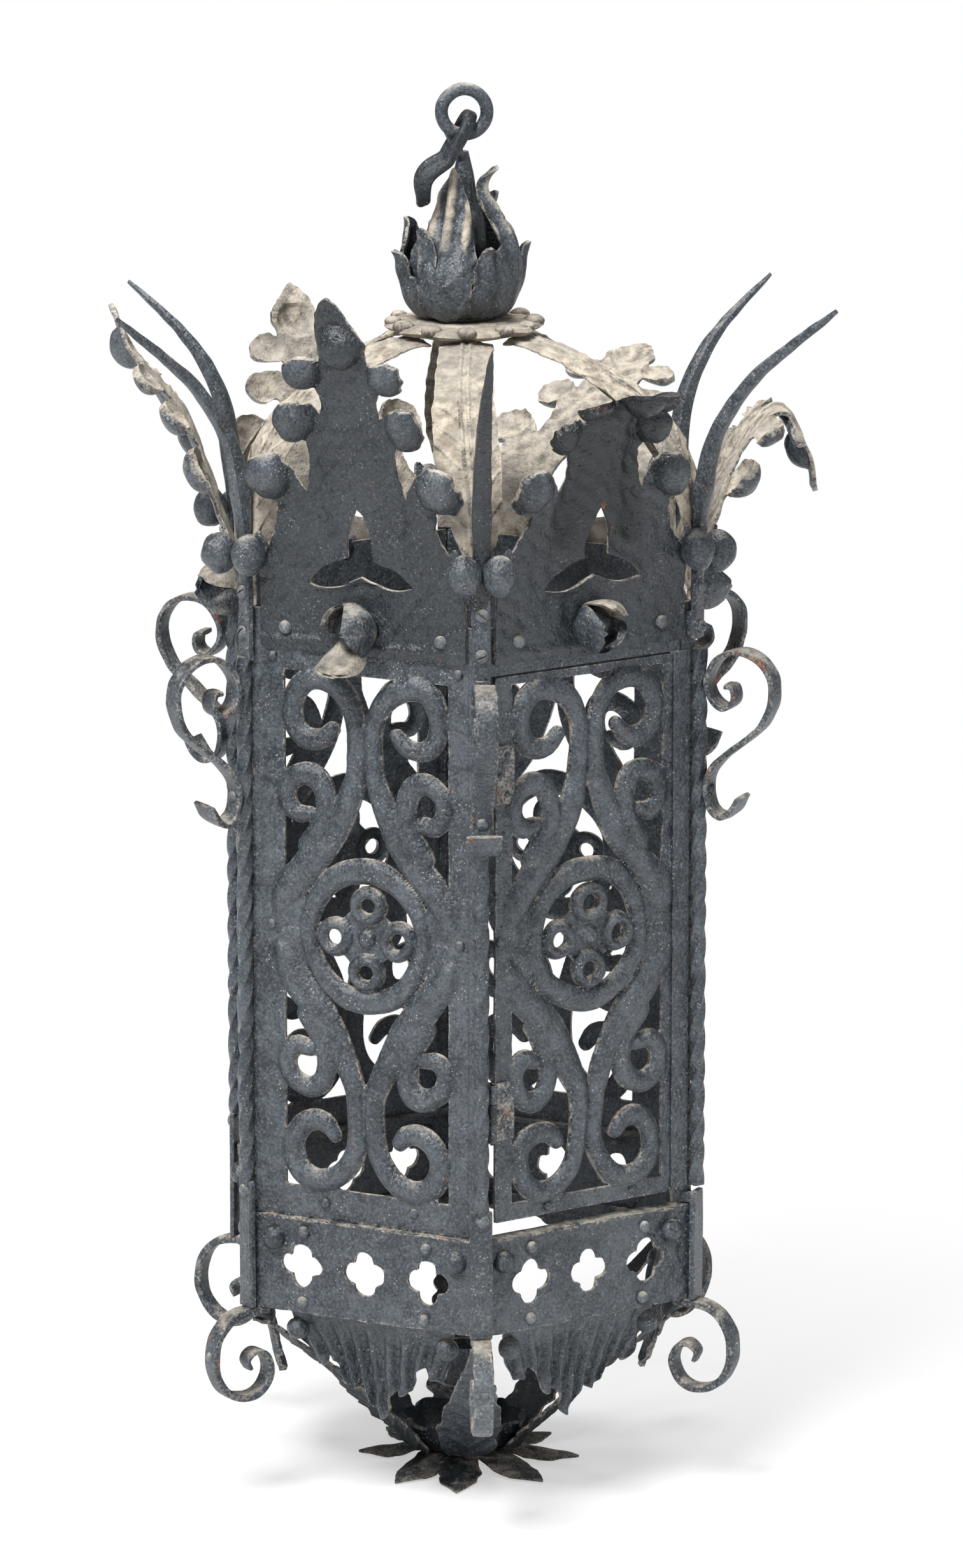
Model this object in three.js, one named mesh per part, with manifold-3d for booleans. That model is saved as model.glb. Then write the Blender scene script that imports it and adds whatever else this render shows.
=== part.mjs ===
// Ceiling lantern of wrought and sheet iron, six-sided, with one hinged door.
// Millimetres, +Z up. The origin is the point on the floor under the lantern's axis.
// Azimuth 0 is the front corner (towards -Y) and azimuths grow towards +X.
import * as THREE from 'three';
import { mergeVertices } from 'three/addons/utils/BufferGeometryUtils.js';
import Module from 'manifold-3d';

const wasm = await Module();
wasm.setup();

// Driving dimensions
const SIDES = 6;
const GAP = 0.3;                    // clearance between pieces that touch
const SHEET_APOTHEM = 128.5;        // outer face of the panel sheets
const SHEET = 2;                    // panel sheet thickness
const PLATE = 2.2;                  // band and crest plate thickness
const BAR_RADIUS = 5.2;             // twisted square bar, axis to edge
const BAR_TWIST = 76;               // length of one full turn of the bars
const BAND_BOTTOM = 119;
const BAND_TOP = 177;
const LEDGE = 9;                    // inward shelf on top of the band
const LEDGE_THICKNESS = 2.5;
const PANEL_TOP = 540;
const OPENING_BOTTOM = 196;
const OPENING_TOP = 505;
const STILE_WIDTH = 21.2;           // from the corner line of the sheets to the opening
const PATTERN_WIDTH = 14;           // pressed ribbon of the openwork
const DOOR_BOTTOM = 186;
const DOOR_TOP = 510;
const HEADER_CLEARANCE = 1.2;       // between the door and the rail over it
const DOOR_HINGE_INSET = 10.2;      // from the corner line of the sheets to the door's edges
const DOOR_CLOSING_INSET = 8.6;
const CLOSING_LAP = 6;              // how far the closing strip laps over the fixed edge
const JAMB_WIDTH = 6.4;
const CREST_BOTTOM = 518;
const CREST_INSET = 8.6;            // from the corner line of the sheets to the crest's edge
const POST_FOOT_TOP = 196;
const TANG_TOP = 558;
const STRAP_WIDTH = 13;
const STRAP = 3.2;
const LOWER_STRAP_WIDTH = 11.5;
const LOWER_STRAP = 4.6;
const RIB_THICKNESS = 2.4;
const HUB_BOTTOM = 687.4;
const HUB_THICKNESS = 7.6;
const HUB_RADIUS = 44;
const FLOWER_SEAT = 0.8;            // raised round on the hub plate that the flower stands on
const FLOWER_SEAT_RADIUS = 29;
const STEM_RADIUS = 6;
const RING_RADIUS = 13.2;
const RING_BAR = 3.85;
const LINK_BAR = 4;
const LINK_LENGTH = 33.3;           // between the centres of the link's two bends
const EYE_BAR = 2.9;
const EYE_CLEARANCE = 0.4;
const RING_CENTRE = [-0.4, 818.2];  // x, z
const LINK_SHIFT = 2.1;             // how far the link's bend sits left of the ring's middle
const LINK_LEAN = 28 * Math.PI / 180;
const EYE_LEAN = 25 * Math.PI / 180;
const HINGE_HEIGHT = 35;
const HINGE_BOTTOMS = [235.5, 435.5];
const KNUCKLE_RADIUS = 2.6;
const PIN_RADIUS = 1.3;
const HINGE_LEAF = 1.6;
const BOWL_FLOOR = 8.4;
const BOWL_WALL = 2.4;
const PETAL_REACH = 74;
const SOCKET_INNER = 11;
const SOCKET_WALL = 1.4;

// Derived places
const SECTOR = 2 * Math.PI / SIDES;
const HALF = SECTOR / 2;
const COS = Math.cos(HALF);
const SIN = Math.sin(HALF);
const SHEET_INNER = SHEET_APOTHEM - SHEET;
const SHEET_HALF_WIDTH = SHEET_INNER * Math.tan(HALF) - GAP * 0.7;
const SHEET_EDGE = SHEET_APOTHEM * Math.tan(HALF);
const DOOR_HINGE_EDGE = DOOR_HINGE_INSET - SHEET_EDGE;
const DOOR_CLOSING_EDGE = SHEET_EDGE - DOOR_CLOSING_INSET;
const CREST_HALF_WIDTH = SHEET_EDGE - CREST_INSET;
const OPENING_HALF_WIDTH = SHEET_EDGE - STILE_WIDTH;
const PLATE_INNER = SHEET_APOTHEM + GAP;
const PLATE_OUTER = PLATE_INNER + PLATE;
const BAND_CORNER = PLATE_OUTER / COS;
const SHEET_CORNER = SHEET_APOTHEM * COS + SHEET_HALF_WIDTH * SIN;
const BAR_AXIS = SHEET_CORNER + BAR_RADIUS + GAP - 0.1;
const FOOT_INNER = BAND_CORNER + GAP;
const FOOT = 3.4;
const TANG_INNER = SHEET_APOTHEM / COS + 1.6;
const TANG = 3.7;
const SCROLL_SEAT = BAR_AXIS + BAR_RADIUS - GAP + STRAP / 2;
const PATTERN_CENTRE = (OPENING_BOTTOM + OPENING_TOP) / 2;
const HINGE_AXIS = { out: PLATE_OUTER + 0.2, along: DOOR_HINGE_EDGE - 4 };
const EYE_REACH = LINK_BAR + EYE_BAR + EYE_CLEARANCE;
const RING_Y = -(EYE_REACH + EYE_BAR + RING_BAR + EYE_CLEARANCE);
const STEM_HOLE = (STEM_RADIUS + GAP) / Math.cos(Math.PI / 8);
const LINK_FRONT = RING_Y - RING_BAR - LINK_BAR - EYE_CLEARANCE;

// Finishes
const paint = (colour) => new THREE.MeshStandardMaterial({ color: colour, roughness: 0.62, metalness: 0.35 });
const SLATE = 0x4a525b;
const SLATE_DARK = 0x3a4046;
const SLATE_PALE = 0x59626b;
const DUSTY = 0x8d8478;
const BARE = 0x6d6d6b;

// Solids and geometries
function solid(geometry) {
  const bare = geometry.index ? geometry.clone() : geometry.clone();
  for (const name of Object.keys(bare.attributes)) {
    if (name !== 'position') bare.deleteAttribute(name);
  }
  const merged = mergeVertices(bare, 1e-4);
  const index = Uint32Array.from(merged.index.array);
  if (signedVolume(merged) < 0) {
    for (let i = 0; i < index.length; i += 3) {
      [index[i], index[i + 1]] = [index[i + 1], index[i]];
    }
  }
  const vertProperties = Float32Array.from(merged.attributes.position.array);
  return new wasm.Manifold(new wasm.Mesh({ numProp: 3, vertProperties, triVerts: index }));
}

function signedVolume(geometry) {
  const p = geometry.attributes.position;
  const a = new THREE.Vector3();
  const b = new THREE.Vector3();
  const c = new THREE.Vector3();
  let sum = 0;
  for (let i = 0; i < geometry.index.count; i += 3) {
    a.fromBufferAttribute(p, geometry.index.getX(i));
    b.fromBufferAttribute(p, geometry.index.getX(i + 1));
    c.fromBufferAttribute(p, geometry.index.getX(i + 2));
    sum += a.dot(b.cross(c)) / 6;
  }
  return sum;
}

function geometryOf(body) {
  const mesh = body.getMesh();
  const geometry = new THREE.BufferGeometry();
  const positions = new Float32Array(mesh.numVert * 3);
  for (let v = 0; v < mesh.numVert; v += 1) {
    for (let k = 0; k < 3; k += 1) {
      positions[v * 3 + k] = mesh.vertProperties[v * mesh.numProp + k];
    }
  }
  geometry.setAttribute('position', new THREE.BufferAttribute(positions, 3));
  geometry.setIndex(Array.from(mesh.triVerts));
  geometry.computeVertexNormals();
  return geometry;
}

const join = (...geometries) => geometryOf(geometries.map(solid).reduce((a, b) => a.add(b)));
const cut = (geometry, ...tools) => geometryOf(tools.map(solid).reduce((a, b) => a.subtract(b), solid(geometry)));

function indexed(points, triangles) {
  const geometry = new THREE.BufferGeometry();
  geometry.setAttribute('position', new THREE.Float32BufferAttribute(points.flatMap((p) => [p.x, p.y, p.z]), 3));
  geometry.setIndex(triangles);
  if (signedVolume(geometry) < 0) {
    const flipped = [];
    for (let i = 0; i < triangles.length; i += 3) flipped.push(triangles[i + 1], triangles[i], triangles[i + 2]);
    geometry.setIndex(flipped);
  }
  geometry.computeVertexNormals();
  return geometry;
}

// A body through rings of as many points each: open with flat ends, or closed on itself
function loft(rings, closed = false) {
  const n = rings[0].length;
  const triangles = [];
  const last = closed ? rings.length : rings.length - 1;
  for (let i = 0; i < last; i += 1) {
    const a = i * n;
    const b = ((i + 1) % rings.length) * n;
    for (let k = 0; k < n; k += 1) {
      const next = (k + 1) % n;
      triangles.push(a + k, a + next, b + k, a + next, b + next, b + k);
    }
  }
  if (!closed) {
    const end = (rings.length - 1) * n;
    for (let k = 1; k < n - 1; k += 1) {
      triangles.push(0, k + 1, k, end, end + k, end + k + 1);
    }
  }
  return indexed(rings.flat(), triangles);
}

// A leaf of sheet: rows of points across, given a thickness along its normals
function leaf(rows, thickness) {
  const nu = rows[0].length;
  const nv = rows.length;
  const at = (i, j) => rows[Math.max(0, Math.min(nv - 1, i))][Math.max(0, Math.min(nu - 1, j))];
  const normal = (i, j) => {
    const along = at(i + 1, j).clone().sub(at(i - 1, j));
    const across = at(i, j + 1).clone().sub(at(i, j - 1));
    return along.cross(across).normalize();
  };
  const points = [];
  for (const side of [-1, 1]) {
    for (let i = 0; i < nv; i += 1) {
      for (let j = 0; j < nu; j += 1) {
        points.push(at(i, j).clone().addScaledVector(normal(i, j), side * thickness / 2));
      }
    }
  }
  const id = (layer, i, j) => layer * nu * nv + i * nu + j;
  const triangles = [];
  for (let i = 0; i < nv - 1; i += 1) {
    for (let j = 0; j < nu - 1; j += 1) {
      const q = [id(0, i, j), id(0, i, j + 1), id(0, i + 1, j + 1), id(0, i + 1, j)];
      const r = [id(1, i, j), id(1, i, j + 1), id(1, i + 1, j + 1), id(1, i + 1, j)];
      triangles.push(q[0], q[1], q[2], q[0], q[2], q[3], r[0], r[2], r[1], r[0], r[3], r[2]);
    }
  }
  const edge = [];
  for (let j = 0; j < nu; j += 1) edge.push([0, j]);
  for (let i = 1; i < nv; i += 1) edge.push([i, nu - 1]);
  for (let j = nu - 2; j >= 0; j -= 1) edge.push([nv - 1, j]);
  for (let i = nv - 2; i > 0; i -= 1) edge.push([i, 0]);
  edge.forEach(([i, j], k) => {
    const [m, n] = edge[(k + 1) % edge.length];
    triangles.push(id(0, i, j), id(1, m, n), id(0, m, n), id(0, i, j), id(1, i, j), id(1, m, n));
  });
  return indexed(points, triangles);
}

const v3 = (x, y, z) => new THREE.Vector3(x, y, z);
const mix = (a, b, t) => a + (b - a) * t;

// Value of a run of [place, value] pairs at a place between them
function along(pairs, place) {
  for (let i = 1; i < pairs.length; i += 1) {
    if (place <= pairs[i][0]) {
      const [p, q] = [pairs[i - 1], pairs[i]];
      return mix(p[1], q[1], (place - p[0]) / (q[0] - p[0]));
    }
  }
  return pairs[pairs.length - 1][1];
}

// Smooth plane curve through points, sampled at equal steps
function curve(points, steps) {
  return new THREE.SplineCurve(points.map(([x, y]) => new THREE.Vector2(x, y))).getSpacedPoints(steps);
}

// Plane path with its unit normals
function framed(points) {
  return points.map((p, i) => {
    const before = points[Math.max(0, i - 1)];
    const after = points[Math.min(points.length - 1, i + 1)];
    const t = after.clone().sub(before).normalize();
    return { p, n: new THREE.Vector2(-t.y, t.x) };
  });
}

// A strap bent in the radial plane: x is the radius, y the width, z the height
function strap(points, width, thickness) {
  const rings = framed(points).map(({ p, n }, i, all) => {
    const share = i / (all.length - 1);
    const w = (typeof width === 'number' ? width : along(width, share)) / 2;
    const t = (typeof thickness === 'number' ? thickness : along(thickness, share)) / 2;
    return [[-w, -t], [w, -t], [w, t], [-w, t]].map(([y, d]) => v3(p.x + n.x * d, y, p.y + n.y * d));
  });
  return loft(rings);
}

// Shape in the face plane (y along the face, z up) extruded outwards from one depth to another
function slab(shape, inner, outer) {
  const geometry = new THREE.ExtrudeGeometry(shape, { depth: outer - inner, bevelEnabled: false, curveSegments: 3 });
  geometry.applyMatrix4(new THREE.Matrix4().makeBasis(v3(0, 1, 0), v3(0, 0, 1), v3(1, 0, 0)));
  return geometry.translate(inner, 0, 0);
}

// Plan outline extruded upwards
function prism(points, bottom, top, holes = []) {
  const shape = new THREE.Shape(points.map(([x, y]) => new THREE.Vector2(x, y)));
  for (const hole of holes) shape.holes.push(new THREE.Path(hole.map(([x, y]) => new THREE.Vector2(x, y))));
  return new THREE.ExtrudeGeometry(shape, { depth: top - bottom, bevelEnabled: false }).translate(0, 0, bottom);
}

function rectangle(left, right, bottom, top) {
  const corners = [[left, bottom], [right, bottom], [right, top], [left, top]];
  return new THREE.Shape(corners.map(([x, y]) => new THREE.Vector2(x, y)));
}

// Box between two corners
function block(a, b) {
  const size = a.map((value, k) => b[k] - value);
  return new THREE.BoxGeometry(...size).translate(a[0] + size[0] / 2, a[1] + size[1] / 2, a[2] + size[2] / 2);
}

// Turned body about the vertical axis, from a closed profile of [radius, height]
function turned(profile, segments) {
  const closed = [...profile, profile[0]].map(([r, z]) => new THREE.Vector2(r, z));
  return new THREE.LatheGeometry(closed, segments).rotateX(Math.PI / 2);
}

const ball = (r, x, y, z, segments = 8, rings = 5) => new THREE.SphereGeometry(r, segments, rings).translate(x, y, z);

// Rivet or screw head: a low dome on a face that looks along +X
function dome(r, height, x, y, z, segments = 6) {
  const profile = [[0, -0.6], [r, -0.6], [r * 0.6, height], [0, height]];
  const points = profile.map(([a, b]) => new THREE.Vector2(a, b));
  return new THREE.LatheGeometry(points, segments).rotateZ(-Math.PI / 2).translate(x, y, z);
}

const root = new THREE.Group();
root.name = 'ceiling_lantern';

function add(name, geometry, colour, azimuth = 90) {
  const holder = new THREE.Group();
  holder.rotation.z = (azimuth - 90) * Math.PI / 180;
  const mesh = new THREE.Mesh(geometry, paint(colour));
  mesh.name = name;
  holder.add(mesh);
  root.add(holder);
}

const corners = Array.from({ length: SIDES }, (_, k) => k * 60);
const faces = corners.map((azimuth) => azimuth + 30);
const REARMOST = 180;
const facesRear = (azimuth) => Math.cos(THREE.MathUtils.degToRad(azimuth)) < -0.1;
const DOOR_FACE = 0;
const DOOR_CORNER = 1;

// Hexagon outline in plan from its apothem, with a corner on the -Y side
function hexagon(apothem) {
  return corners.map((azimuth) => {
    const a = azimuth * Math.PI / 180;
    return [apothem / COS * Math.sin(a), -apothem / COS * Math.cos(a)];
  });
}

// Twisted square bar standing on the corner
function twistedBar(bottom, top) {
  const steps = Math.round((top - bottom) / (BAR_TWIST / 4));
  const rings = [];
  for (let i = 0; i <= steps; i += 1) {
    const z = mix(bottom, top, i / steps);
    const turn = 2 * Math.PI * (z - bottom) / BAR_TWIST;
    const ring = [0, 1, 2, 3].map((k) => {
      const a = turn + (k + 0.5) * Math.PI / 2;
      return v3(BAR_AXIS + BAR_RADIUS * Math.cos(a), BAR_RADIUS * Math.sin(a), z);
    });
    rings.push(ring);
  }
  return loft(rings);
}

// Corner post: riveted foot on the band, twisted shaft, screwed tang and long curved thorn
const fromTang = ([out, up]) => [TANG_INNER + out, up];
const THORN = [[TANG / 2, TANG_TOP - 4], [2.6, 584], [5, 608], [11.5, 636], [22.5, 656], [37, 674.5], [58, 693],
  [88, 717]].map(fromTang);
const REAR_THORN = [[TANG / 2, TANG_TOP - 4], [2.8, 584], [4.5, 606], [9, 630], [18, 650], [31, 667], [49, 683],
  [72, 700]].map(fromTang);
const THORN_WIDTH = [[0, 9], [0.13, 8.6], [0.27, 9.4], [0.6, 6.8], [1, 1.4]];
const THORN_DEPTH = [[0, TANG], [0.13, 5], [0.27, 9], [0.6, 6.5], [1, 1.4]];
const SCREWS = [525, 548];
const FOOT_RIVET = 191.5;

function cornerPost(isDoorCorner, isRearFlank) {
  const footTop = isDoorCorner ? DOOR_BOTTOM - 1 : POST_FOOT_TOP;
  const foot = block([FOOT_INNER, -6.5, BAND_BOTTOM], [FOOT_INNER + FOOT, 6.5, footTop]);
  const tangBottom = isDoorCorner ? CREST_BOTTOM : DOOR_TOP;
  const tang = block([TANG_INNER, -5.25, tangBottom], [TANG_INNER + TANG, 5.25, TANG_TOP]);
  const thorn = strap(curve(isRearFlank ? REAR_THORN : THORN, 8), THORN_WIDTH, THORN_DEPTH);
  const heads = SCREWS.map((z) => dome(3.5, 2.4, TANG_INNER + TANG, 0, z));
  const pieces = [foot, tang, thorn, ...heads];
  if (isDoorCorner) {
    pieces.push(...doorJamb());
  } else {
    pieces.push(twistedBar(POST_FOOT_TOP - 4, DOOR_TOP + 2));
    pieces.push(dome(4, 2.6, FOOT_INNER + FOOT, 0, FOOT_RIVET));
  }
  return join(...pieces);
}

// Fixed strip that the door closes on, joined to the corner's foot and tang past the door's ends
function doorJamb() {
  const inner = DOOR_CLOSING_EDGE + 0.7;
  const strip = slab(rectangle(inner, inner + JAMB_WIDTH, BAND_TOP + GAP, PANEL_TOP), SHEET_INNER, SHEET_APOTHEM);
  strip.rotateZ(-HALF);
  const lower = block([SHEET_CORNER - 3, -5.5, BAND_TOP + 1.2], [FOOT_INNER + 1, -0.4, DOOR_BOTTOM - 1.6]);
  const upper = block([SHEET_CORNER - 3, -5, CREST_BOTTOM + 2], [TANG_INNER + 1, -0.4, CREST_BOTTOM + 16]);
  return [strip, lower, upper];
}

corners.forEach((azimuth, k) => {
  add(`corner_post_${k + 1}`, cornerPost(k === DOOR_CORNER, facesRear(azimuth) && azimuth !== REARMOST), SLATE, azimuth);
});

// Door's own twisted bar, which hides the closing edge
const STILE_BOTTOM = 188;
add('door_stile_bar', twistedBar(STILE_BOTTOM, DOOR_TOP + 2), SLATE, corners[DOOR_CORNER]);

// Pressed openwork of a panel: one quarter, with heights from the middle of the opening, drawn to a half-width
// of 53 and then fitted to the opening
const DRAWN_HALF_WIDTH = 53;
const SPINE = PATTERN_WIDTH / 2 - 0.1;
const MAIN_BAND = [[55, -18], [32, -45], [16, -72], [SPINE, -98], [SPINE, -124], [17, -146.5], [42, -147.5], [45, -122],
  [25, -118.5]];
const SIDE_BAND = [[37, -50], [27.5, -68], [31, -92], [50, -89], [46, -71], [37, -72]];
const OVAL = [43.4, 45.5];
const FLANK = [[54, -30], [54, 28], [40, 0]];
const EYELET = 5;
const EYELET_PLACES = [[0, -20.8], [0, 20.8], [-20, 0], [20, 0]];
const CORNER_HOLE = [[11.5, 14], [30, 11.5], [13, 31]];

function band(points) {
  const half = PATTERN_WIDTH / 2;
  const rings = points.map((p, i) => {
    const before = points[Math.max(0, i - 1)];
    const after = points[Math.min(points.length - 1, i + 1)];
    const t = new THREE.Vector2(after[0] - before[0], after[1] - before[1]).normalize();
    const section = [[-half, SHEET_INNER], [half, SHEET_INNER], [half, SHEET_APOTHEM], [-half, SHEET_APOTHEM]];
    return section.map(([u, out]) => v3(out, p[0] - t.y * u, PATTERN_CENTRE + p[1] + t.x * u));
  });
  return loft(rings);
}

const oval = (a, b, steps, x = 0, y = 0) => Array.from({ length: steps }, (_, i) => {
  const angle = 2 * Math.PI * (i + 0.5) / steps;
  return [x + a * Math.cos(angle), y + b * Math.sin(angle)];
});

function outline(points) {
  return new THREE.Shape(points.map(([x, y]) => new THREE.Vector2(x, y)));
}

function openwork() {
  const pieces = [];
  const medallion = outline(oval(...OVAL, 12));
  for (const [x, y] of EYELET_PLACES) medallion.holes.push(outline(oval(EYELET, EYELET, 6, x, y)));
  for (const sx of [-1, 1]) {
    const flank = outline(FLANK.map(([x, y]) => [sx * x, y]));
    pieces.push(slab(flank, SHEET_INNER, SHEET_APOTHEM).translate(0, 0, PATTERN_CENTRE));
    for (const sy of [-1, 1]) {
      const turnedOver = (points) => points.map(([x, y]) => [sx * x, sy * y]);
      pieces.push(band(turnedOver(MAIN_BAND)), band(turnedOver(SIDE_BAND)));
      medallion.holes.push(outline(turnedOver(CORNER_HOLE)));
    }
  }
  pieces.push(slab(medallion, SHEET_INNER, SHEET_APOTHEM).translate(0, 0, PATTERN_CENTRE));
  return [...pieces, dome(5, 3, SHEET_APOTHEM, 0, PATTERN_CENTRE)];
}

function frameSheet(left, right, bottom, top) {
  const shape = rectangle(left, right, bottom, top);
  shape.holes.push(rectangle(-OPENING_HALF_WIDTH, OPENING_HALF_WIDTH, OPENING_BOTTOM, OPENING_TOP));
  return slab(shape, SHEET_INNER, SHEET_APOTHEM);
}

const pattern = join(...openwork()).scale(1, OPENING_HALF_WIDTH / DRAWN_HALF_WIDTH, 1);

function fixedPanel() {
  return join(frameSheet(-SHEET_HALF_WIDTH, SHEET_HALF_WIDTH, BAND_TOP + GAP, PANEL_TOP), pattern);
}

// Hinge barrels share the post leaf's pin: the door has the upper and lower third, the post the middle
const hingeAxis = [HINGE_AXIS.out, HINGE_AXIS.along];
const KNUCKLE = HINGE_HEIGHT / 3 - GAP;

function barrel(radius, bottom, top, segments = 8) {
  return new THREE.CylinderGeometry(radius, radius, top - bottom, segments).rotateX(Math.PI / 2)
    .translate(...hingeAxis, (bottom + top) / 2);
}

function doorLeaf(bottom) {
  const leafEdge = rectangle(HINGE_AXIS.along, -52, bottom, bottom + HINGE_HEIGHT);
  const plate = slab(leafEdge, SHEET_APOTHEM - 0.2, SHEET_APOTHEM + HINGE_LEAF);
  const third = HINGE_HEIGHT / 3;
  const room = barrel(KNUCKLE_RADIUS + GAP * 1.6, bottom + third - GAP, bottom + 2 * third + GAP, 8);
  const ends = [0, 2].map((k) => barrel(KNUCKLE_RADIUS, bottom + k * third, bottom + (k + 1) * third - GAP * (k === 0)));
  const bore = barrel(PIN_RADIUS + GAP, bottom - 1, bottom + HINGE_HEIGHT + 1);
  return { add: [plate, ...ends], remove: [room, bore] };
}

function doorPanel() {
  const sheet = frameSheet(DOOR_HINGE_EDGE, DOOR_CLOSING_EDGE, DOOR_BOTTOM, DOOR_TOP);
  const lapStart = DOOR_CLOSING_EDGE - CLOSING_LAP + 0.4;
  const closingStrip = slab(rectangle(lapStart, DOOR_CLOSING_EDGE + CLOSING_LAP, STILE_BOTTOM, DOOR_TOP), PLATE_INNER, SHEET_APOTHEM + 1.9);
  const backing = slab(rectangle(lapStart, DOOR_CLOSING_EDGE, STILE_BOTTOM, DOOR_TOP), SHEET_APOTHEM - 0.5, SHEET_APOTHEM + 1.2);
  const leaves = HINGE_BOTTOMS.map(doorLeaf);
  const whole = join(sheet, pattern, closingStrip, backing, ...leaves.flatMap((l) => l.add));
  return cut(whole, ...leaves.flatMap((l) => l.remove));
}

faces.forEach((azimuth, k) => {
  if (k === DOOR_FACE) add('door_panel', doorPanel(), SLATE_PALE, azimuth);
  else add(`panel_${k}`, fixedPanel(), SLATE, azimuth);
});

// Post side of a hinge: leaf inside the neighbouring panel's edge, middle knuckle and pin
function fixedHinge(bottom) {
  const third = HINGE_HEIGHT / 3;
  const middle = barrel(KNUCKLE_RADIUS, bottom + third, bottom + 2 * third);
  const pin = barrel(PIN_RADIUS, bottom - 1.2, bottom + HINGE_HEIGHT + 1.2, 8);
  const neighbour = (out, side) => {
    const a = -2 * HALF;
    return [out * Math.cos(a) - side * Math.sin(a), out * Math.sin(a) + side * Math.cos(a)];
  };
  const inside = SHEET_INNER - GAP;
  const leafEnd = SHEET_EDGE - 18.2;
  const outline = [neighbour(inside, leafEnd), neighbour(inside, SHEET_EDGE - 2.7), [HINGE_AXIS.out - 2.2, HINGE_AXIS.along - 0.9],
    [HINGE_AXIS.out, HINGE_AXIS.along], [HINGE_AXIS.out - 2.2, HINGE_AXIS.along + 0.9],
    neighbour(inside - HINGE_LEAF, SHEET_EDGE - 1.9), neighbour(inside - HINGE_LEAF, leafEnd)];
  const plate = prism(outline, bottom + third, bottom + 2 * third);
  return join(plate, middle, pin);
}

['hinge_lower', 'hinge_upper'].forEach((name, k) => {
  add(name, fixedHinge(HINGE_BOTTOMS[k]), SLATE_DARK, faces[DOOR_FACE]);
});

// Lower band: one hexagonal hoop with a shelf on top, pierced with three quatrefoils a side
const QUATREFOIL_PLACES = [-41, 0, 41];
const QUATREFOIL_HEIGHT = 148;
const STUD_INSET = 6.6;

function quatrefoil(x) {
  const points = [];
  for (let k = 0; k < 4; k += 1) {
    for (const [turn, r] of [[0, 13], [Math.PI / 4, 9.6]]) {
      const a = k * Math.PI / 2 + turn;
      points.push(new THREE.Vector2(x + r * Math.cos(a), QUATREFOIL_HEIGHT + r * Math.sin(a)));
    }
  }
  return slab(new THREE.Shape(points), PLATE_INNER - 3, PLATE_OUTER + 3);
}

function lowerBand() {
  const wall = prism(hexagon(PLATE_OUTER), BAND_BOTTOM, BAND_TOP, [hexagon(PLATE_INNER)]);
  const shelf = prism(hexagon(PLATE_OUTER), BAND_TOP - LEDGE_THICKNESS, BAND_TOP, [hexagon(PLATE_OUTER - LEDGE)]);
  const holes = faces.flatMap((azimuth) => QUATREFOIL_PLACES.map((x) => {
    return quatrefoil(x).rotateZ((azimuth - 90) * Math.PI / 180);
  }));
  const studPlace = CREST_HALF_WIDTH - STUD_INSET;
  const studs = faces.flatMap((azimuth) => [-studPlace, studPlace].map((y) => {
    return dome(6.5, 5, PLATE_OUTER, y, 163).rotateZ((azimuth - 90) * Math.PI / 180);
  }));
  return cut(join(wall, shelf, ...studs), ...holes);
}

add('lower_band', lowerBand(), SLATE);

// Crest plates: share of the half-width by height along the plate with its three pairs of lobes, and how each
// has been bent
const CREST_WIDTHS = [[0, 1], [42, 1], [62, 0.915], [85, 0.762], [90, 0.945], [101, 1.021], [114, 0.793],
  [118, 0.427], [127, 0.457], [134, 0.717], [145, 0.61], [150, 0.274], [158, 0.549], [170, 0.473], [175, 0.229],
  [190, 0.213], [208, 0.023]];
const CREST_BOSS = { radius: 8, inset: 2.1, out: 6 };
const CREST_MID = PLATE_INNER + PLATE / 2;
const CREST_BENDS = [
  [[0, 0], [0.6, 27], [4.6, 62], [10, 94], [16, 122], [23, 140], [38, 152], [60, 159], [83, 162]],
  [[0, 0], [2, 30], [10, 57], [22, 82], [36, 104], [50, 119], [62, 118], [71, 100], [79, 72]],
  [[0, 0], [1, 30], [8, 55], [28, 72], [48, 87], [69, 102], [91, 113], [110, 119], [130, 121]],
  [[0, 0], [2, 30], [10, 62], [20, 94], [33, 122], [48, 146], [65, 170]],
  [[0, 0], [2, 30], [11, 57], [19, 82], [30, 113], [45, 135], [60, 149], [72, 166], [79, 186]],
  [[0, 0], [0.6, 27], [4, 57], [9.5, 92], [16, 127], [23, 164], [33, 206]],
];
const CREST_LENGTH = 208;

function crestPath(bend) {
  const path = new THREE.SplineCurve(bend.map(([out, up]) => new THREE.Vector2(CREST_MID + out, CREST_BOTTOM + up)));
  return (place) => path.getPointAt(Math.min(1, place / CREST_LENGTH));
}

function crestBosses(pointAt) {
  const p = pointAt(50);
  return [-1, 1].map((side) => {
    return ball(CREST_BOSS.radius, p.x + CREST_BOSS.out, side * (CREST_HALF_WIDTH - CREST_BOSS.inset), p.y, 6, 3);
  });
}

// Split bud of thin sheet, open at the front
function bud() {
  const profile = [[0, -1], [9, -1], [15, 24], [13, 24], [0, 6]];
  const cup = new THREE.LatheGeometry(profile.map(([r, d]) => new THREE.Vector2(r, d)), 6).rotateZ(-Math.PI / 2);
  return cup.rotateY(0.12).translate(PLATE_OUTER, -1, CREST_BOTTOM + 15);
}

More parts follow.
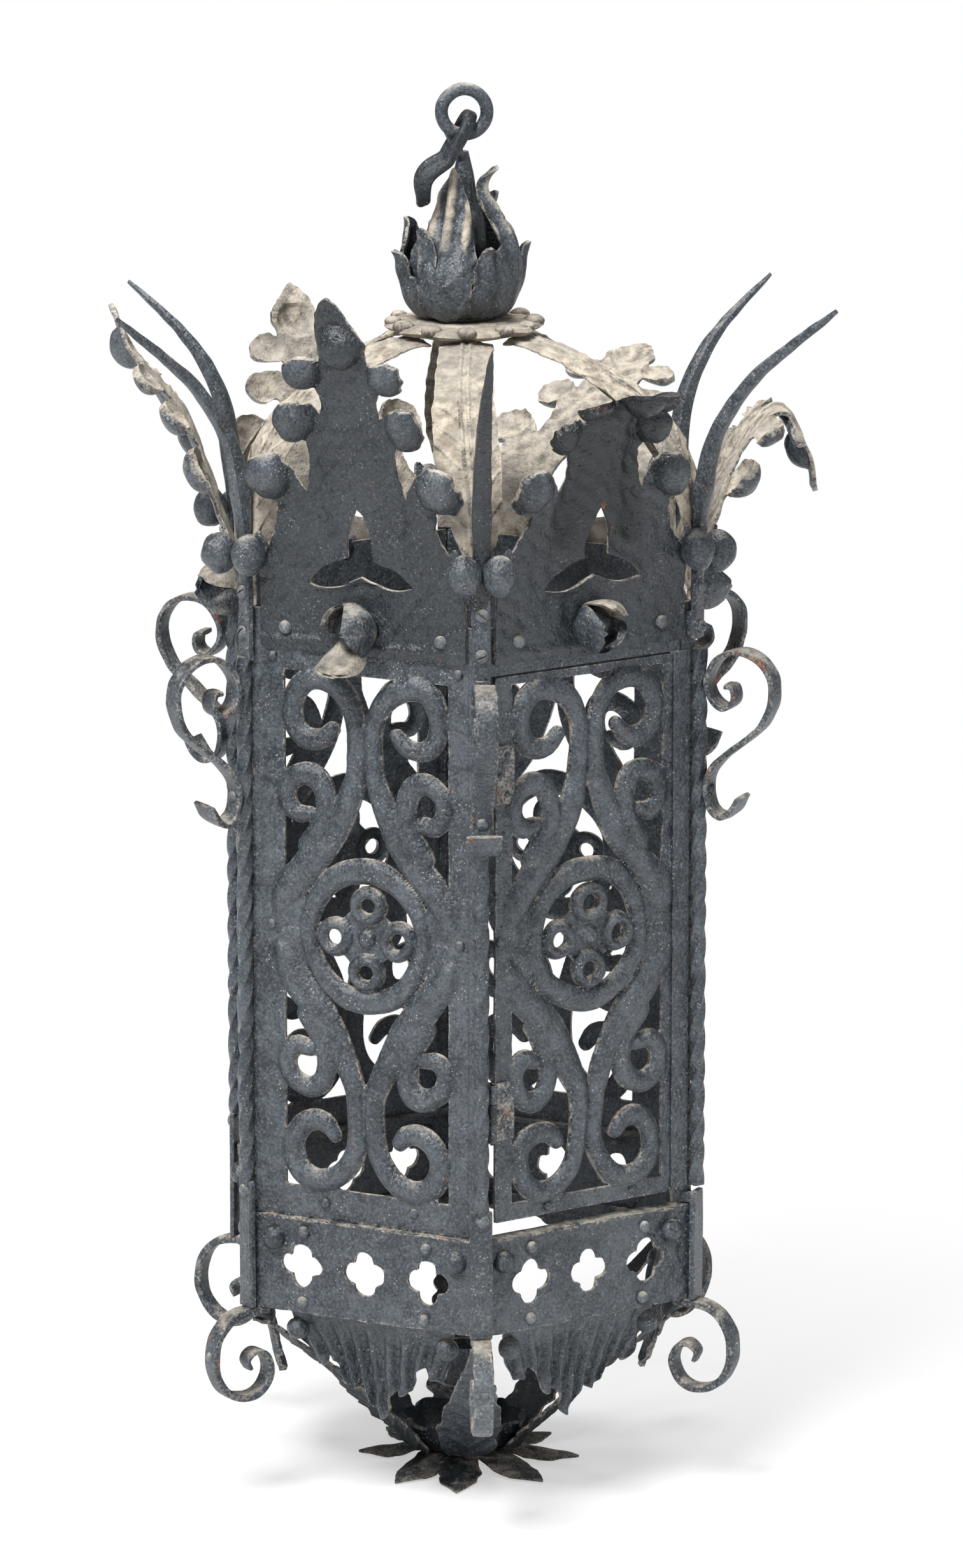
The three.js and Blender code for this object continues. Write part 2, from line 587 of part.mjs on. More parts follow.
// Eyebrow slot with the drop-shaped hole above it
function crestHoles() {
  const brow = new THREE.Shape();
  brow.moveTo(-33, 559);
  brow.quadraticCurveTo(-14, 556, 0, 563);
  brow.quadraticCurveTo(14, 556, 33, 559);
  brow.quadraticCurveTo(0, 590, -33, 559);
  const drop = new THREE.Shape();
  drop.moveTo(-7, 571);
  drop.lineTo(7, 571);
  drop.quadraticCurveTo(8.5, 590, 0, 604);
  drop.quadraticCurveTo(-8.5, 590, -7, 571);
  return [slab(brow, PLATE_INNER - 4, PLATE_OUTER + 20), slab(drop, PLATE_INNER - 4, PLATE_OUTER + 24)];
}

function crest(k) {
  const pointAt = crestPath(CREST_BENDS[k]);
  const rows = CREST_WIDTHS.map(([place, w]) => {
    const p = pointAt(place);
    return [-1, 1].map((s) => v3(p.x, s * w * CREST_HALF_WIDTH, p.y));
  });
  const pieces = [leaf(rows, PLATE), ...crestBosses(pointAt)];
  if (k === DOOR_FACE) pieces.push(doorHeader());
  return join(cut(join(...pieces), ...crestHoles()), bud());
}

// Rail over the door, behind the crest and in line with the panel sheets
function doorHeader() {
  const rail = rectangle(-SHEET_HALF_WIDTH, DOOR_CLOSING_EDGE, DOOR_TOP + HEADER_CLEARANCE, PANEL_TOP);
  const spacer = rectangle(-CREST_HALF_WIDTH + 8, CREST_HALF_WIDTH - 8, CREST_BOTTOM + 4, PANEL_TOP - 6);
  return join(slab(rail, SHEET_INNER, SHEET_APOTHEM), slab(spacer, SHEET_APOTHEM - 0.5, PLATE_INNER + 0.5));
}

faces.forEach((azimuth, k) => add(`crest_${k + 1}`, crest(k), SLATE, azimuth));

// Dome ribs: veined leaf straps from under the hub plate down to the posts' tangs
const RIB_FOOT = TANG_INNER - GAP * 1.6 - RIB_THICKNESS / 2;
const RIB_TONGUE = 0.86;             // share of a rib's length where its narrow tongue starts
const RIB_START = 33;
const acrossDome = ([share, up]) => [mix(RIB_START, RIB_FOOT, share), up];
const RIB_PATH = [[0, HUB_BOTTOM - GAP - RIB_THICKNESS / 2], [0.104, 685.5], [0.286, 679.5], [0.477, 670.5],
  [0.668, 659], [0.841, 641], [0.945, 619], [0.989, 597], [1, 576], [1, PANEL_TOP + 1]]
  .map(acrossDome);
const REAR_DIP = [[0.104, 683.5], [0.286, 672], [0.477, 656.5], [0.668, 640], [0.841, 621], [0.945, 603],
  [0.989, 589]];
const REAR_RIB_PATH = [RIB_PATH[0], ...REAR_DIP.map(acrossDome), ...RIB_PATH.slice(8)];
const RIB_WIDTHS = [[0, 32], [0.2, 33], [0.45, 38], [0.66, 36], [0.78, 24], [RIB_TONGUE, 10.4], [1, 10.4]];
const RIB_RIDGE = 2.2;
const FRONT_RIB_SWAY = -7;           // the front rib bows to the left
const REAR_RIB_SHARE = 0.78;         // width of the three rear ribs beside the near ones

add('hub_plate', hubPlate(), DUSTY);
corners.forEach((azimuth, k) => {
  add(`dome_rib_${k + 1}`, domeRib(facesRear(azimuth), k === 0 ? FRONT_RIB_SWAY : 0), DUSTY, azimuth);
});

function domeRib(isRear, sway) {
  const path = framed(curve(isRear ? REAR_RIB_PATH : RIB_PATH, 7));
  const rows = path.map(({ p, n }, i) => {
    const share = i / (path.length - 1);
    const onTongue = share >= RIB_TONGUE;
    const w = along(RIB_WIDTHS, share) / 2 * (isRear && !onTongue ? REAR_RIB_SHARE : 1);
    const aside = onTongue ? 0 : sway * Math.sin(Math.PI * share / RIB_TONGUE);
    const ridge = onTongue ? 0 : RIB_RIDGE * Math.min(1, 4 * share);
    return [-1, 0, 1].map((s) => {
      const lift = s === 0 ? ridge : 0;
      return v3(p.x + n.x * (lift - ridge), aside + s * w, p.y + n.y * (lift - ridge));
    });
  });
  return leaf(rows, RIB_THICKNESS);
}

// Hub plate: thick disc with a scalloped rim and a raised round under the flower
function hubPlate() {
  const scallops = 10;
  const rim = [];
  for (let k = 0; k < scallops; k += 1) {
    for (const [turn, r] of [[0, HUB_RADIUS - 3], [0.28, HUB_RADIUS + 2], [0.72, HUB_RADIUS + 2]]) {
      const a = 2 * Math.PI * (k + turn) / scallops;
      rim.push([r * Math.cos(a), r * Math.sin(a)]);
    }
  }
  const hole = oval(STEM_HOLE, STEM_HOLE, 8);
  const plate = prism(rim, HUB_BOTTOM, HUB_BOTTOM + HUB_THICKNESS - FLOWER_SEAT, [hole]);
  const seat = prism(oval(FLOWER_SEAT_RADIUS, FLOWER_SEAT_RADIUS, 12), HUB_BOTTOM + 1, HUB_BOTTOM + HUB_THICKNESS, [hole]);
  return join(plate, seat);
}

// Stem: nut under the hub plate, cone above the flower's floor, and the lopsided eye on top
const HUB_TOP = HUB_BOTTOM + HUB_THICKNESS;
const FLOWER_FLOOR = 2.4;
const SHOULDER = HUB_TOP + GAP + FLOWER_FLOOR + GAP;
const LINK_DOWN = v3(-Math.sin(LINK_LEAN), 0, -Math.cos(LINK_LEAN));
const LINK_TOP = v3(RING_CENTRE[0] - LINK_SHIFT, 0, RING_CENTRE[1] - RING_RADIUS);
const EYE_CENTRE = LINK_TOP.clone().addScaledVector(LINK_DOWN, 7);
const EYE_UP = v3(-Math.sin(EYE_LEAN), 0, Math.cos(EYE_LEAN));
const EYE_TALL = EYE_REACH / Math.sin(LINK_LEAN + EYE_LEAN);

function eye() {
  const steps = 12;
  const rings = [];
  for (let i = 0; i < steps; i += 1) {
    const a = 2 * Math.PI * i / steps;
    const centre = EYE_CENTRE.clone().addScaledVector(EYE_UP, EYE_TALL * Math.cos(a));
    centre.y += EYE_REACH * Math.sin(a);
    const outwards = EYE_UP.clone().multiplyScalar(Math.cos(a)).add(v3(0, Math.sin(a), 0)).normalize();
    const sideways = v3(EYE_UP.z, 0, -EYE_UP.x);
    rings.push(Array.from({ length: 5 }, (_, k) => {
      const b = 2 * Math.PI * k / 5;
      return centre.clone().addScaledVector(outwards, EYE_BAR * Math.cos(b)).addScaledVector(sideways, EYE_BAR * Math.sin(b));
    }));
  }
  return loft(rings, true);
}

function eyeStem() {
  const foot = EYE_CENTRE.z - EYE_TALL * EYE_UP.z;
  const profile = [[0, HUB_BOTTOM - 12], [STEM_RADIUS, HUB_BOTTOM - 12], [STEM_RADIUS, SHOULDER], [10, SHOULDER],
    [13, 738], [11.5, 752], [7, 770], [4.6, foot], [0, foot]];
  const shaft = new THREE.LatheGeometry(profile.map(([r, z]) => new THREE.Vector2(r, z)), 8).rotateX(Math.PI / 2);
  const nut = new THREE.CylinderGeometry(9.5, 9.5, 6, 6).rotateX(Math.PI / 2).translate(0, 0, HUB_BOTTOM - GAP - 3);
  return join(shaft, nut, eye());
}

add('eye_stem', eyeStem(), SLATE);

// Crown flower: cup with torn tips and tall leaves that stand round the stem
const CUP = [[STEM_HOLE, 0], [22, 0], [34, 12], [37.5, 31], [35.5, 31], [32.2, 13], [21, FLOWER_FLOOR],
  [STEM_HOLE, FLOWER_FLOOR]];
const TALL_LEAVES = [
  { azimuth: -12, width: 26, path: [[31.5, 16], [24, 48], [16.5, 66], [11, 88]] },
  { azimuth: 70, width: 22, path: [[34, 18], [31, 50], [15, 76], [21, 86]] },
  { azimuth: -75, width: 20, path: [[34, 18], [30.5, 45], [31, 56]] },
  { azimuth: 150, width: 26, path: [[33, 18], [24, 52], [12, 84]] },
  { azimuth: -140, width: 24, path: [[34, 18], [28, 52], [20, 82]] },
];

function flowerLeaf({ azimuth, width, path }, floor) {
  const centre = curve(path, path.length - 1);
  const rows = centre.map((p, i) => {
    const share = i / (centre.length - 1);
    const w = Math.max(0.8, width / 2 * Math.sqrt(1 - share * share) * (share < 0.75 ? 1 : 0.8));
    const curl = w * w / (2.4 * Math.max(p.x, w));
    return [-1, 0, 1].map((s) => v3(p.x - Math.abs(s) * curl, s * w, floor + p.y));
  });
  return leaf(rows, 1.8).rotateZ((azimuth - 90) * Math.PI / 180);
}

function crownFlower() {
  const floor = HUB_TOP + GAP;
  const cup = turned(CUP.map(([r, z]) => [r, floor + z]), 8);
  const tall = TALL_LEAVES.map((each) => flowerLeaf(each, floor));
  return join(cup, ...tall);
}

add('crown_flower', crownFlower(), SLATE);

// Loose chain link, leaning in the eye, and the hanging ring that stands in its upper bend
function chainLink() {
  const half = -LINK_FRONT / 2;
  const upper = LINK_TOP;
  const lower = LINK_TOP.clone().addScaledVector(LINK_DOWN, LINK_LENGTH);
  const side = v3(0, 1, 0);
  const across = LINK_DOWN.clone().cross(side);
  const bend = 5;
  const rings = [];
  for (const [centre, sign] of [[upper, -1], [lower, 1]]) {
    for (let i = 0; i <= bend; i += 1) {
      const a = Math.PI * i / bend;
      const outwards = side.clone().multiplyScalar(-sign * Math.cos(a)).addScaledVector(LINK_DOWN, sign * Math.sin(a));
      const p = centre.clone().addScaledVector(outwards, half).add(v3(0, LINK_FRONT / 2, 0));
      rings.push(Array.from({ length: 6 }, (_, k) => {
        const b = 2 * Math.PI * k / 6;
        return p.clone().addScaledVector(outwards, LINK_BAR * Math.cos(b)).addScaledVector(across, LINK_BAR * Math.sin(b));
      }));
    }
  }
  return loft(rings, true);
}

add('chain_link', chainLink(), SLATE_DARK);
const ring = new THREE.TorusGeometry(RING_RADIUS, RING_BAR, 6, 16).rotateX(Math.PI / 2);
add('hanging_ring', ring.translate(RING_CENTRE[0], RING_Y, RING_CENTRE[1]), BARE);

// Upper scrolls: S-shaped straps on the bars, each with a spread foot
const UPPER_SCROLL = [[21.4, 426], [16.4, 417.5], [9.4, 413.5], [2.9, 418], [0, 428], [1.6, 438], [8.4, 447.5],
  [22.4, 459], [34.4, 470], [40.9, 484], [40.4, 498], [32.4, 508.5], [21.4, 512.3], [9.4, 509.5], [2, 501],
  [0, 491], [3.9, 482], [10.9, 478.5], [16.9, 483], [15.9, 490.5], [10.9, 491.5]]
  .map(([out, up]) => [SCROLL_SEAT + out, up]);
const UPPER_SCROLL_WIDTHS = [[0, 21], [0.1, 14], [0.14, STRAP_WIDTH], [1, STRAP_WIDTH]];
corners.forEach((azimuth, k) => {
  add(`upper_scroll_${k + 1}`, strap(curve(UPPER_SCROLL, 16), UPPER_SCROLL_WIDTHS, STRAP), SLATE_PALE, azimuth);
});

// Lower scrolls: heavier straps that curl outwards and in again under the band's corners
const LOWER_SEAT = BAND_BOTTOM - GAP - LOWER_STRAP / 2;
const LOWER_SCROLL = [[-10.3, LOWER_SEAT], [5.7, LOWER_SEAT - 0.4], [16.7, 111.5], [24.5, 101], [26.5, 88],
  [22.7, 75], [14.2, 66.3], [2.7, 63.8], [-7.3, 68.5], [-11.7, 79], [-8.5, 88], [-1.8, 91], [3.7, 86.5],
  [1.7, 80.5]]
  .map(([out, up]) => [BAND_CORNER + out, up]);
corners.forEach((azimuth, k) => {
  add(`lower_scroll_${k + 1}`, strap(curve(LOWER_SCROLL, 11), LOWER_STRAP_WIDTH, [[0, LOWER_STRAP], [0.8, 4], [1, 2.4]]), SLATE, azimuth);
});

// Basket ribs: broad leaves from under the lower scrolls down round the bowl
const BASKET_TOP = LOWER_SEAT - LOWER_STRAP / 2 - GAP - 2.3;
const BASKET_FOOT = 33;              // radius where the ribs end under the bowl
const BASKET_PATH = [[0.964, BASKET_TOP], [0.896, BASKET_TOP - 3], [0.676, 86], [0.482, 67.5], [0.33, 50],
  [0.203, 35], [0.101, 24], [0.037, 15.2], [0, 10.4]]
  .map(([share, up]) => [mix(BASKET_FOOT, BAND_CORNER, share), up]);
const BASKET_WIDTHS = [[0, 9], [0.12, 11], [0.5, 21], [0.78, 34], [0.92, 30], [1, 22]];

function basketRib() {
  const path = framed(curve(BASKET_PATH, 6));
  const rows = path.map(({ p, n }, i) => {
    const share = i / (path.length - 1);
    const w = along(BASKET_WIDTHS, share) / 2;
    return [-1, 0, 1].map((s) => v3(p.x - n.x * (s ? 0 : 1.5), s * w, p.y - n.y * (s ? 0 : 1.5)));
  });
  return leaf(rows, 2);
}

corners.forEach((azimuth, k) => add(`basket_rib_${k + 1}`, basketRib(), SLATE, azimuth));

// Valances: fluted leaves hung inside the band's lower edge, with ball tips at the upper corners
const VALANCE_EDGE = [[-0.762, 102], [-0.579, 82], [-0.412, 88], [-0.259, 70], [-0.137, 72], [0, 54],
  [0.137, 72], [0.259, 70], [0.412, 88], [0.579, 82], [0.762, 102]];
const VALANCE_TOP = 128;
const VALANCE_TIP = 106;
const VALANCE_TIP_SIDE = 0.747;
const REAR_VALANCE_SHARE = 0.22;
const VALANCE_LEAN = 0.32;
const FLUTE = 1.6;

function valance(length) {
  const hang = PLATE_INNER - GAP - 1 - FLUTE * 0.4;
  const rows = [0, 1].map((share) => VALANCE_EDGE.map(([y, low], j) => {
    const z = mix(VALANCE_TOP, low, share * length);
    const drop = Math.max(0, BAND_BOTTOM - z);
    const flute = (j % 2 ? FLUTE : -FLUTE) * mix(0.4, 1, share * length);
    return v3(hang - VALANCE_LEAN * drop + flute, y * CREST_HALF_WIDTH * (share === 0 ? 1.06 : 1), z);
  }));
  const tipHeight = mix(VALANCE_TOP, VALANCE_TIP, length);
  const tips = [-1, 1].map((side) => ball(6.5, hang - 5.5, side * VALANCE_TIP_SIDE * CREST_HALF_WIDTH, tipHeight, 6, 3));
  return join(leaf(rows, 2), ...tips);
}

faces.forEach((azimuth, k) => {
  add(`valance_${k + 1}`, valance(facesRear(azimuth) ? REAR_VALANCE_SHARE : 1), SLATE_DARK, azimuth);
});

// Base: bowl that the basket ribs hold, rosette of petals that it stands on, and the candle socket in it
function baseHub() {
  const profile = [[0, BOWL_FLOOR], [27, BOWL_FLOOR], [35, 17], [38, 27], [38 - BOWL_WALL, 27.6], [32.4, 18],
    [26, BOWL_FLOOR + BOWL_WALL], [0, BOWL_FLOOR + BOWL_WALL]];
  return new THREE.LatheGeometry(profile.map(([r, z]) => new THREE.Vector2(r, z)), 12).rotateX(Math.PI / 2);
}

function rosette() {
  const petals = 8;
  const top = BOWL_FLOOR - GAP;
  const disc = new THREE.CylinderGeometry(27, 25, 2.2, 12).rotateX(Math.PI / 2).translate(0, 0, top - 1.1);
  const pieces = [disc];
  for (let k = 0; k < petals; k += 1) {
    const stations = [[22, 7, top - 2.4], [44, 10, 4.6], [PETAL_REACH, 1.4, 1]];
    const rows = stations.map(([r, w, z]) => [-1, 0, 1].map((s) => v3(r, s * w, z + (s || w < 2 ? 0 : 0.9))));
    pieces.push(leaf(rows, 1.9).rotateZ((k + 0.3) * 2 * Math.PI / petals));
  }
  return join(...pieces);
}

function candleSocket() {
  const floor = BOWL_FLOOR + BOWL_WALL + GAP;
  const cup = SOCKET_INNER + SOCKET_WALL;
  const profile = [[0, floor], [13, floor], [13, floor + 2], [5, floor + 5], [5, 42], [15, 45], [15, 46.6], [cup, 46.2], [cup, 70],
    [SOCKET_INNER, 70], [SOCKET_INNER, 48], [0, 48]];
  return new THREE.LatheGeometry(profile.map(([r, z]) => new THREE.Vector2(r, z)), 10).rotateX(Math.PI / 2);
}

add('base_hub', baseHub(), SLATE_DARK);
add('base_rosette', rosette(), SLATE_DARK);
add('candle_socket', candleSocket(), BARE);

export default root;
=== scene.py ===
import math

import bpy
import numpy as np
from bpy.props import FloatProperty, FloatVectorProperty, IntProperty, PointerProperty
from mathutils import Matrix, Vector


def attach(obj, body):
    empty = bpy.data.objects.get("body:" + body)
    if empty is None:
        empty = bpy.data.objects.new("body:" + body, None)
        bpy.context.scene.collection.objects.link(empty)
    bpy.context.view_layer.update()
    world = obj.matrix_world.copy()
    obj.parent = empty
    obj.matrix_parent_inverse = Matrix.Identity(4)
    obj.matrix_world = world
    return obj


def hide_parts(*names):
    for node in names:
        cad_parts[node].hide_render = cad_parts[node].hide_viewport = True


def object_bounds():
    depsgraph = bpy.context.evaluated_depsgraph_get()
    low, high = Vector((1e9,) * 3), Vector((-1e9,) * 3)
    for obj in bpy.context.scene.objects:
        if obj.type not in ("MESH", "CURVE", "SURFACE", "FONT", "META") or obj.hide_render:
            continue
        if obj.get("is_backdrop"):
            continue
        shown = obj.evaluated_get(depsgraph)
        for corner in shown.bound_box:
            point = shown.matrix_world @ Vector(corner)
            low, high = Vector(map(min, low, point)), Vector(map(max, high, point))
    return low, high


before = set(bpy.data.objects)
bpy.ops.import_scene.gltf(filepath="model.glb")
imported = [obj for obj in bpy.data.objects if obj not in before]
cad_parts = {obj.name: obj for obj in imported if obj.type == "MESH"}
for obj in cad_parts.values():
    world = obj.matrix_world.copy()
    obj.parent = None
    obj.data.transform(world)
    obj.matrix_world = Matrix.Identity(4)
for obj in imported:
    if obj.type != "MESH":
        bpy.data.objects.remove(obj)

CAD_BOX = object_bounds()

bl_info = {
    "name": "Ceiling lantern",
    "version": (1, 0, 0),
    "blender": (4, 5, 0),
    "location": "3D View > Sidebar > Lantern",
    "description": "Six-sided wrought and sheet iron lantern with a hinged door",
    "category": "Object",
}

MM = 0.001
SIDES = 6
CORNERS = [60 * k for k in range(SIDES)]
FACES = [60 * k + 30 for k in range(SIDES)]
DOOR_FACE = 0
DOOR_CORNER = 1

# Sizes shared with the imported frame, in millimetres
SHEET_OUTER = 128.5
SHEET_INNER = 126.5
PLATE_INNER = 128.8
PLATE_OUTER = 131.0
HALF_SIDE = 72.8
BAR_AXIS = 153.1
BAND_BOTTOM = 119.0
BAND_TOP = 177.0
PANEL_TOP = 540.0
DOOR_TOP = 510.0
PATTERN_CENTRE = 350.5
CREST_BOTTOM = 518.0
HUB_BOTTOM = 687.4
HUB_TOP = 695.0
RING_CENTRE = (-0.4, -14.45, 818.2)
HINGE_BOTTOMS = (235.5, 435.5)


def linear(red, green, blue):
    """Display colour from 0 to 255 as a linear colour."""
    out = []
    for value in (red, green, blue):
        x = value / 255
        out.append(x / 12.92 if x <= 0.04045 else ((x + 0.055) / 1.055) ** 2.4)
    return tuple(out)


# Shapes in plain numbers

def place(points, azimuth):
    """Turns (out, side, up) points about the lantern's axis to the given azimuth."""
    p = np.asarray(points, float)
    a = math.radians(azimuth)
    s, c = math.sin(a), math.cos(a)
    return np.stack([p[..., 0] * s + p[..., 1] * c, -p[..., 0] * c + p[..., 1] * s, p[..., 2]], -1)


def wobble(p, size, seed, waves=5):
    """Smooth noise of about one, from a few sine waves."""
    rng = np.random.default_rng(seed)
    total = 0.0
    for _ in range(waves):
        heading = rng.normal(size=p.shape[-1])
        heading /= np.linalg.norm(heading)
        pace = 2 * math.pi / size * rng.uniform(0.6, 1.5)
        total = total + np.sin(p @ heading * pace + rng.uniform(0, 2 * math.pi))
    return total / waves ** 0.5


def smooth(points, count, closed=False):
    """Catmull-Rom curve through the points, sampled at equal steps."""
    p = np.asarray(points, float)
    if closed:
        p = np.vstack([p[-1], p, p[0], p[1]])
    else:
        p = np.vstack([2 * p[0] - p[1], p, 2 * p[-1] - p[-2]])
    t = np.linspace(0, 1, 24, endpoint=False)[:, None]
    runs = []
    for a, b, c, d in zip(p, p[1:], p[2:], p[3:]):
        runs.append(0.5 * (2 * b + (c - a) * t + (2 * a - 5 * b + 4 * c - d) * t ** 2
                           + (3 * b - a - 3 * c + d) * t ** 3))
    dense = np.vstack([*runs, p[-2:-1]])
    return resample(dense, count)


def resample(dense, count):
    steps = np.r_[0, np.cumsum(np.linalg.norm(np.diff(dense, axis=0), axis=1))]
    at = np.linspace(0, steps[-1], count)
    return np.stack([np.interp(at, steps, dense[:, k]) for k in range(dense.shape[1])], 1)


def ramp(x, low, high):
    t = np.clip((x - low) / (high - low), 0, 1)
    return t * t * (3 - 2 * t)


def polygon_depth(u, v, points):
    """Distance inside a closed outline, negative outside."""
    p = np.asarray(points, float)
    best = np.full(u.shape, 1e9)
    inside = np.zeros(u.shape, bool)
    for (ax, ay), (bx, by) in zip(p, np.roll(p, -1, 0)):
        dx, dy = bx - ax, by - ay
        t = np.clip(((u - ax) * dx + (v - ay) * dy) / max(dx * dx + dy * dy, 1e-9), 0, 1)
        best = np.minimum(best, np.hypot(u - ax - t * dx, v - ay - t * dy))
        if ay != by:
            crosses = (ay > v) != (by > v)
            inside ^= crosses & (u < ax + (v - ay) / (by - ay) * dx)
    return np.where(inside, best, -best)


def ribbon_depth(u, v, path, half):
    """Distance inside a ribbon along a path, and that as a share of its half-width."""
    best = np.full(u.shape, -1e9)
    share = np.full(u.shape, -1e9)
    half = np.broadcast_to(half, len(path))
    for (ax, ay), (bx, by), ha, hb in zip(path, path[1:], half, half[1:]):
        dx, dy = bx - ax, by - ay
        t = np.clip(((u - ax) * dx + (v - ay) * dy) / max(dx * dx + dy * dy, 1e-9), 0, 1)
        h = ha + (hb - ha) * t
        depth = h - np.hypot(u - ax - t * dx, v - ay - t * dy)
        share = np.where(depth > best, depth / h, share)
        best = np.maximum(best, depth)
    return best, share


def oval_depth(u, v, a, b, x=0.0, y=0.0):
    u, v = u - x, v - y
    rho = np.maximum(np.sqrt((u / a) ** 2 + (v / b) ** 2), 1e-6)
    return (1 - rho) * np.maximum(np.hypot(u, v), 0.2 * min(a, b)) / rho


def domed(share, height, power=2.2):
    return height * (1 - (1 - np.clip(share, 0, 1)) ** power)


def trace(field, left, right, bottom, top, step):
    """Triangles over the part of a grid where the field is positive, with the cut edge exact."""
    nu = int(math.ceil((right - left) / step)) + 1
    nv = int(math.ceil((top - bottom) / step)) + 1
    u, v = np.meshgrid(np.linspace(left, right, nu), np.linspace(bottom, top, nv))
    f = np.array(field(u, v), float)
    f[[0, -1], :] = np.minimum(f[[0, -1], :], -step)
    f[:, [0, -1]] = np.minimum(f[:, [0, -1]], -step)
    near = 0.14 * step
    f = np.where(np.abs(f) < near, np.where(f > 0, near, -near), f)
    inside = f > 0
    ids = np.full(f.shape, -1)
    ids[inside] = np.arange(inside.sum())
    count = inside.sum()
    points = [np.stack([u[inside], v[inside]], 1)]
    across = np.full((nv, nu - 1), -1)
    cross = inside[:, :-1] != inside[:, 1:]
    t = f[:, :-1] / (f[:, :-1] - f[:, 1:] + (f[:, :-1] == f[:, 1:]))
    across[cross] = count + np.arange(cross.sum())
    points.append(np.stack([(u[:, :-1] + (u[:, 1:] - u[:, :-1]) * t)[cross], v[:, :-1][cross]], 1))
    count += cross.sum()
    upward = np.full((nv - 1, nu), -1)
    cross = inside[:-1] != inside[1:]
    t = f[:-1] / (f[:-1] - f[1:] + (f[:-1] == f[1:]))
    upward[cross] = count + np.arange(cross.sum())
    points.append(np.stack([u[:-1][cross], (v[:-1] + (v[1:] - v[:-1]) * t)[cross]], 1))
    corner = [ids[:-1, :-1], ids[:-1, 1:], ids[1:, 1:], ids[1:, :-1]]
    edge = [across[:-1], upward[:, 1:], across[1:], upward[:, :-1]]
    code = sum((c >= 0).astype(int) << k for k, c in enumerate(corner))
    triangles, rim = [], []
    for case in range(1, 16):
        here = code == case
        if not here.any():
            continue
        loop, leaves = [], []
        for k in range(4):
            now, then = case >> k & 1, case >> (k + 1) % 4 & 1
            if now:
                loop.append(corner[k][here])
            if now != then:
                if now:
                    leaves.append(len(loop))
                loop.append(edge[k][here])
        for k in range(1, len(loop) - 1):
            triangles.append(np.stack([loop[0], loop[k], loop[k + 1]], 1))
        for k in leaves:
            rim.append(np.stack([loop[k], loop[(k + 1) % len(loop)]], 1))
    return np.vstack(points), np.vstack(triangles), np.vstack(rim)


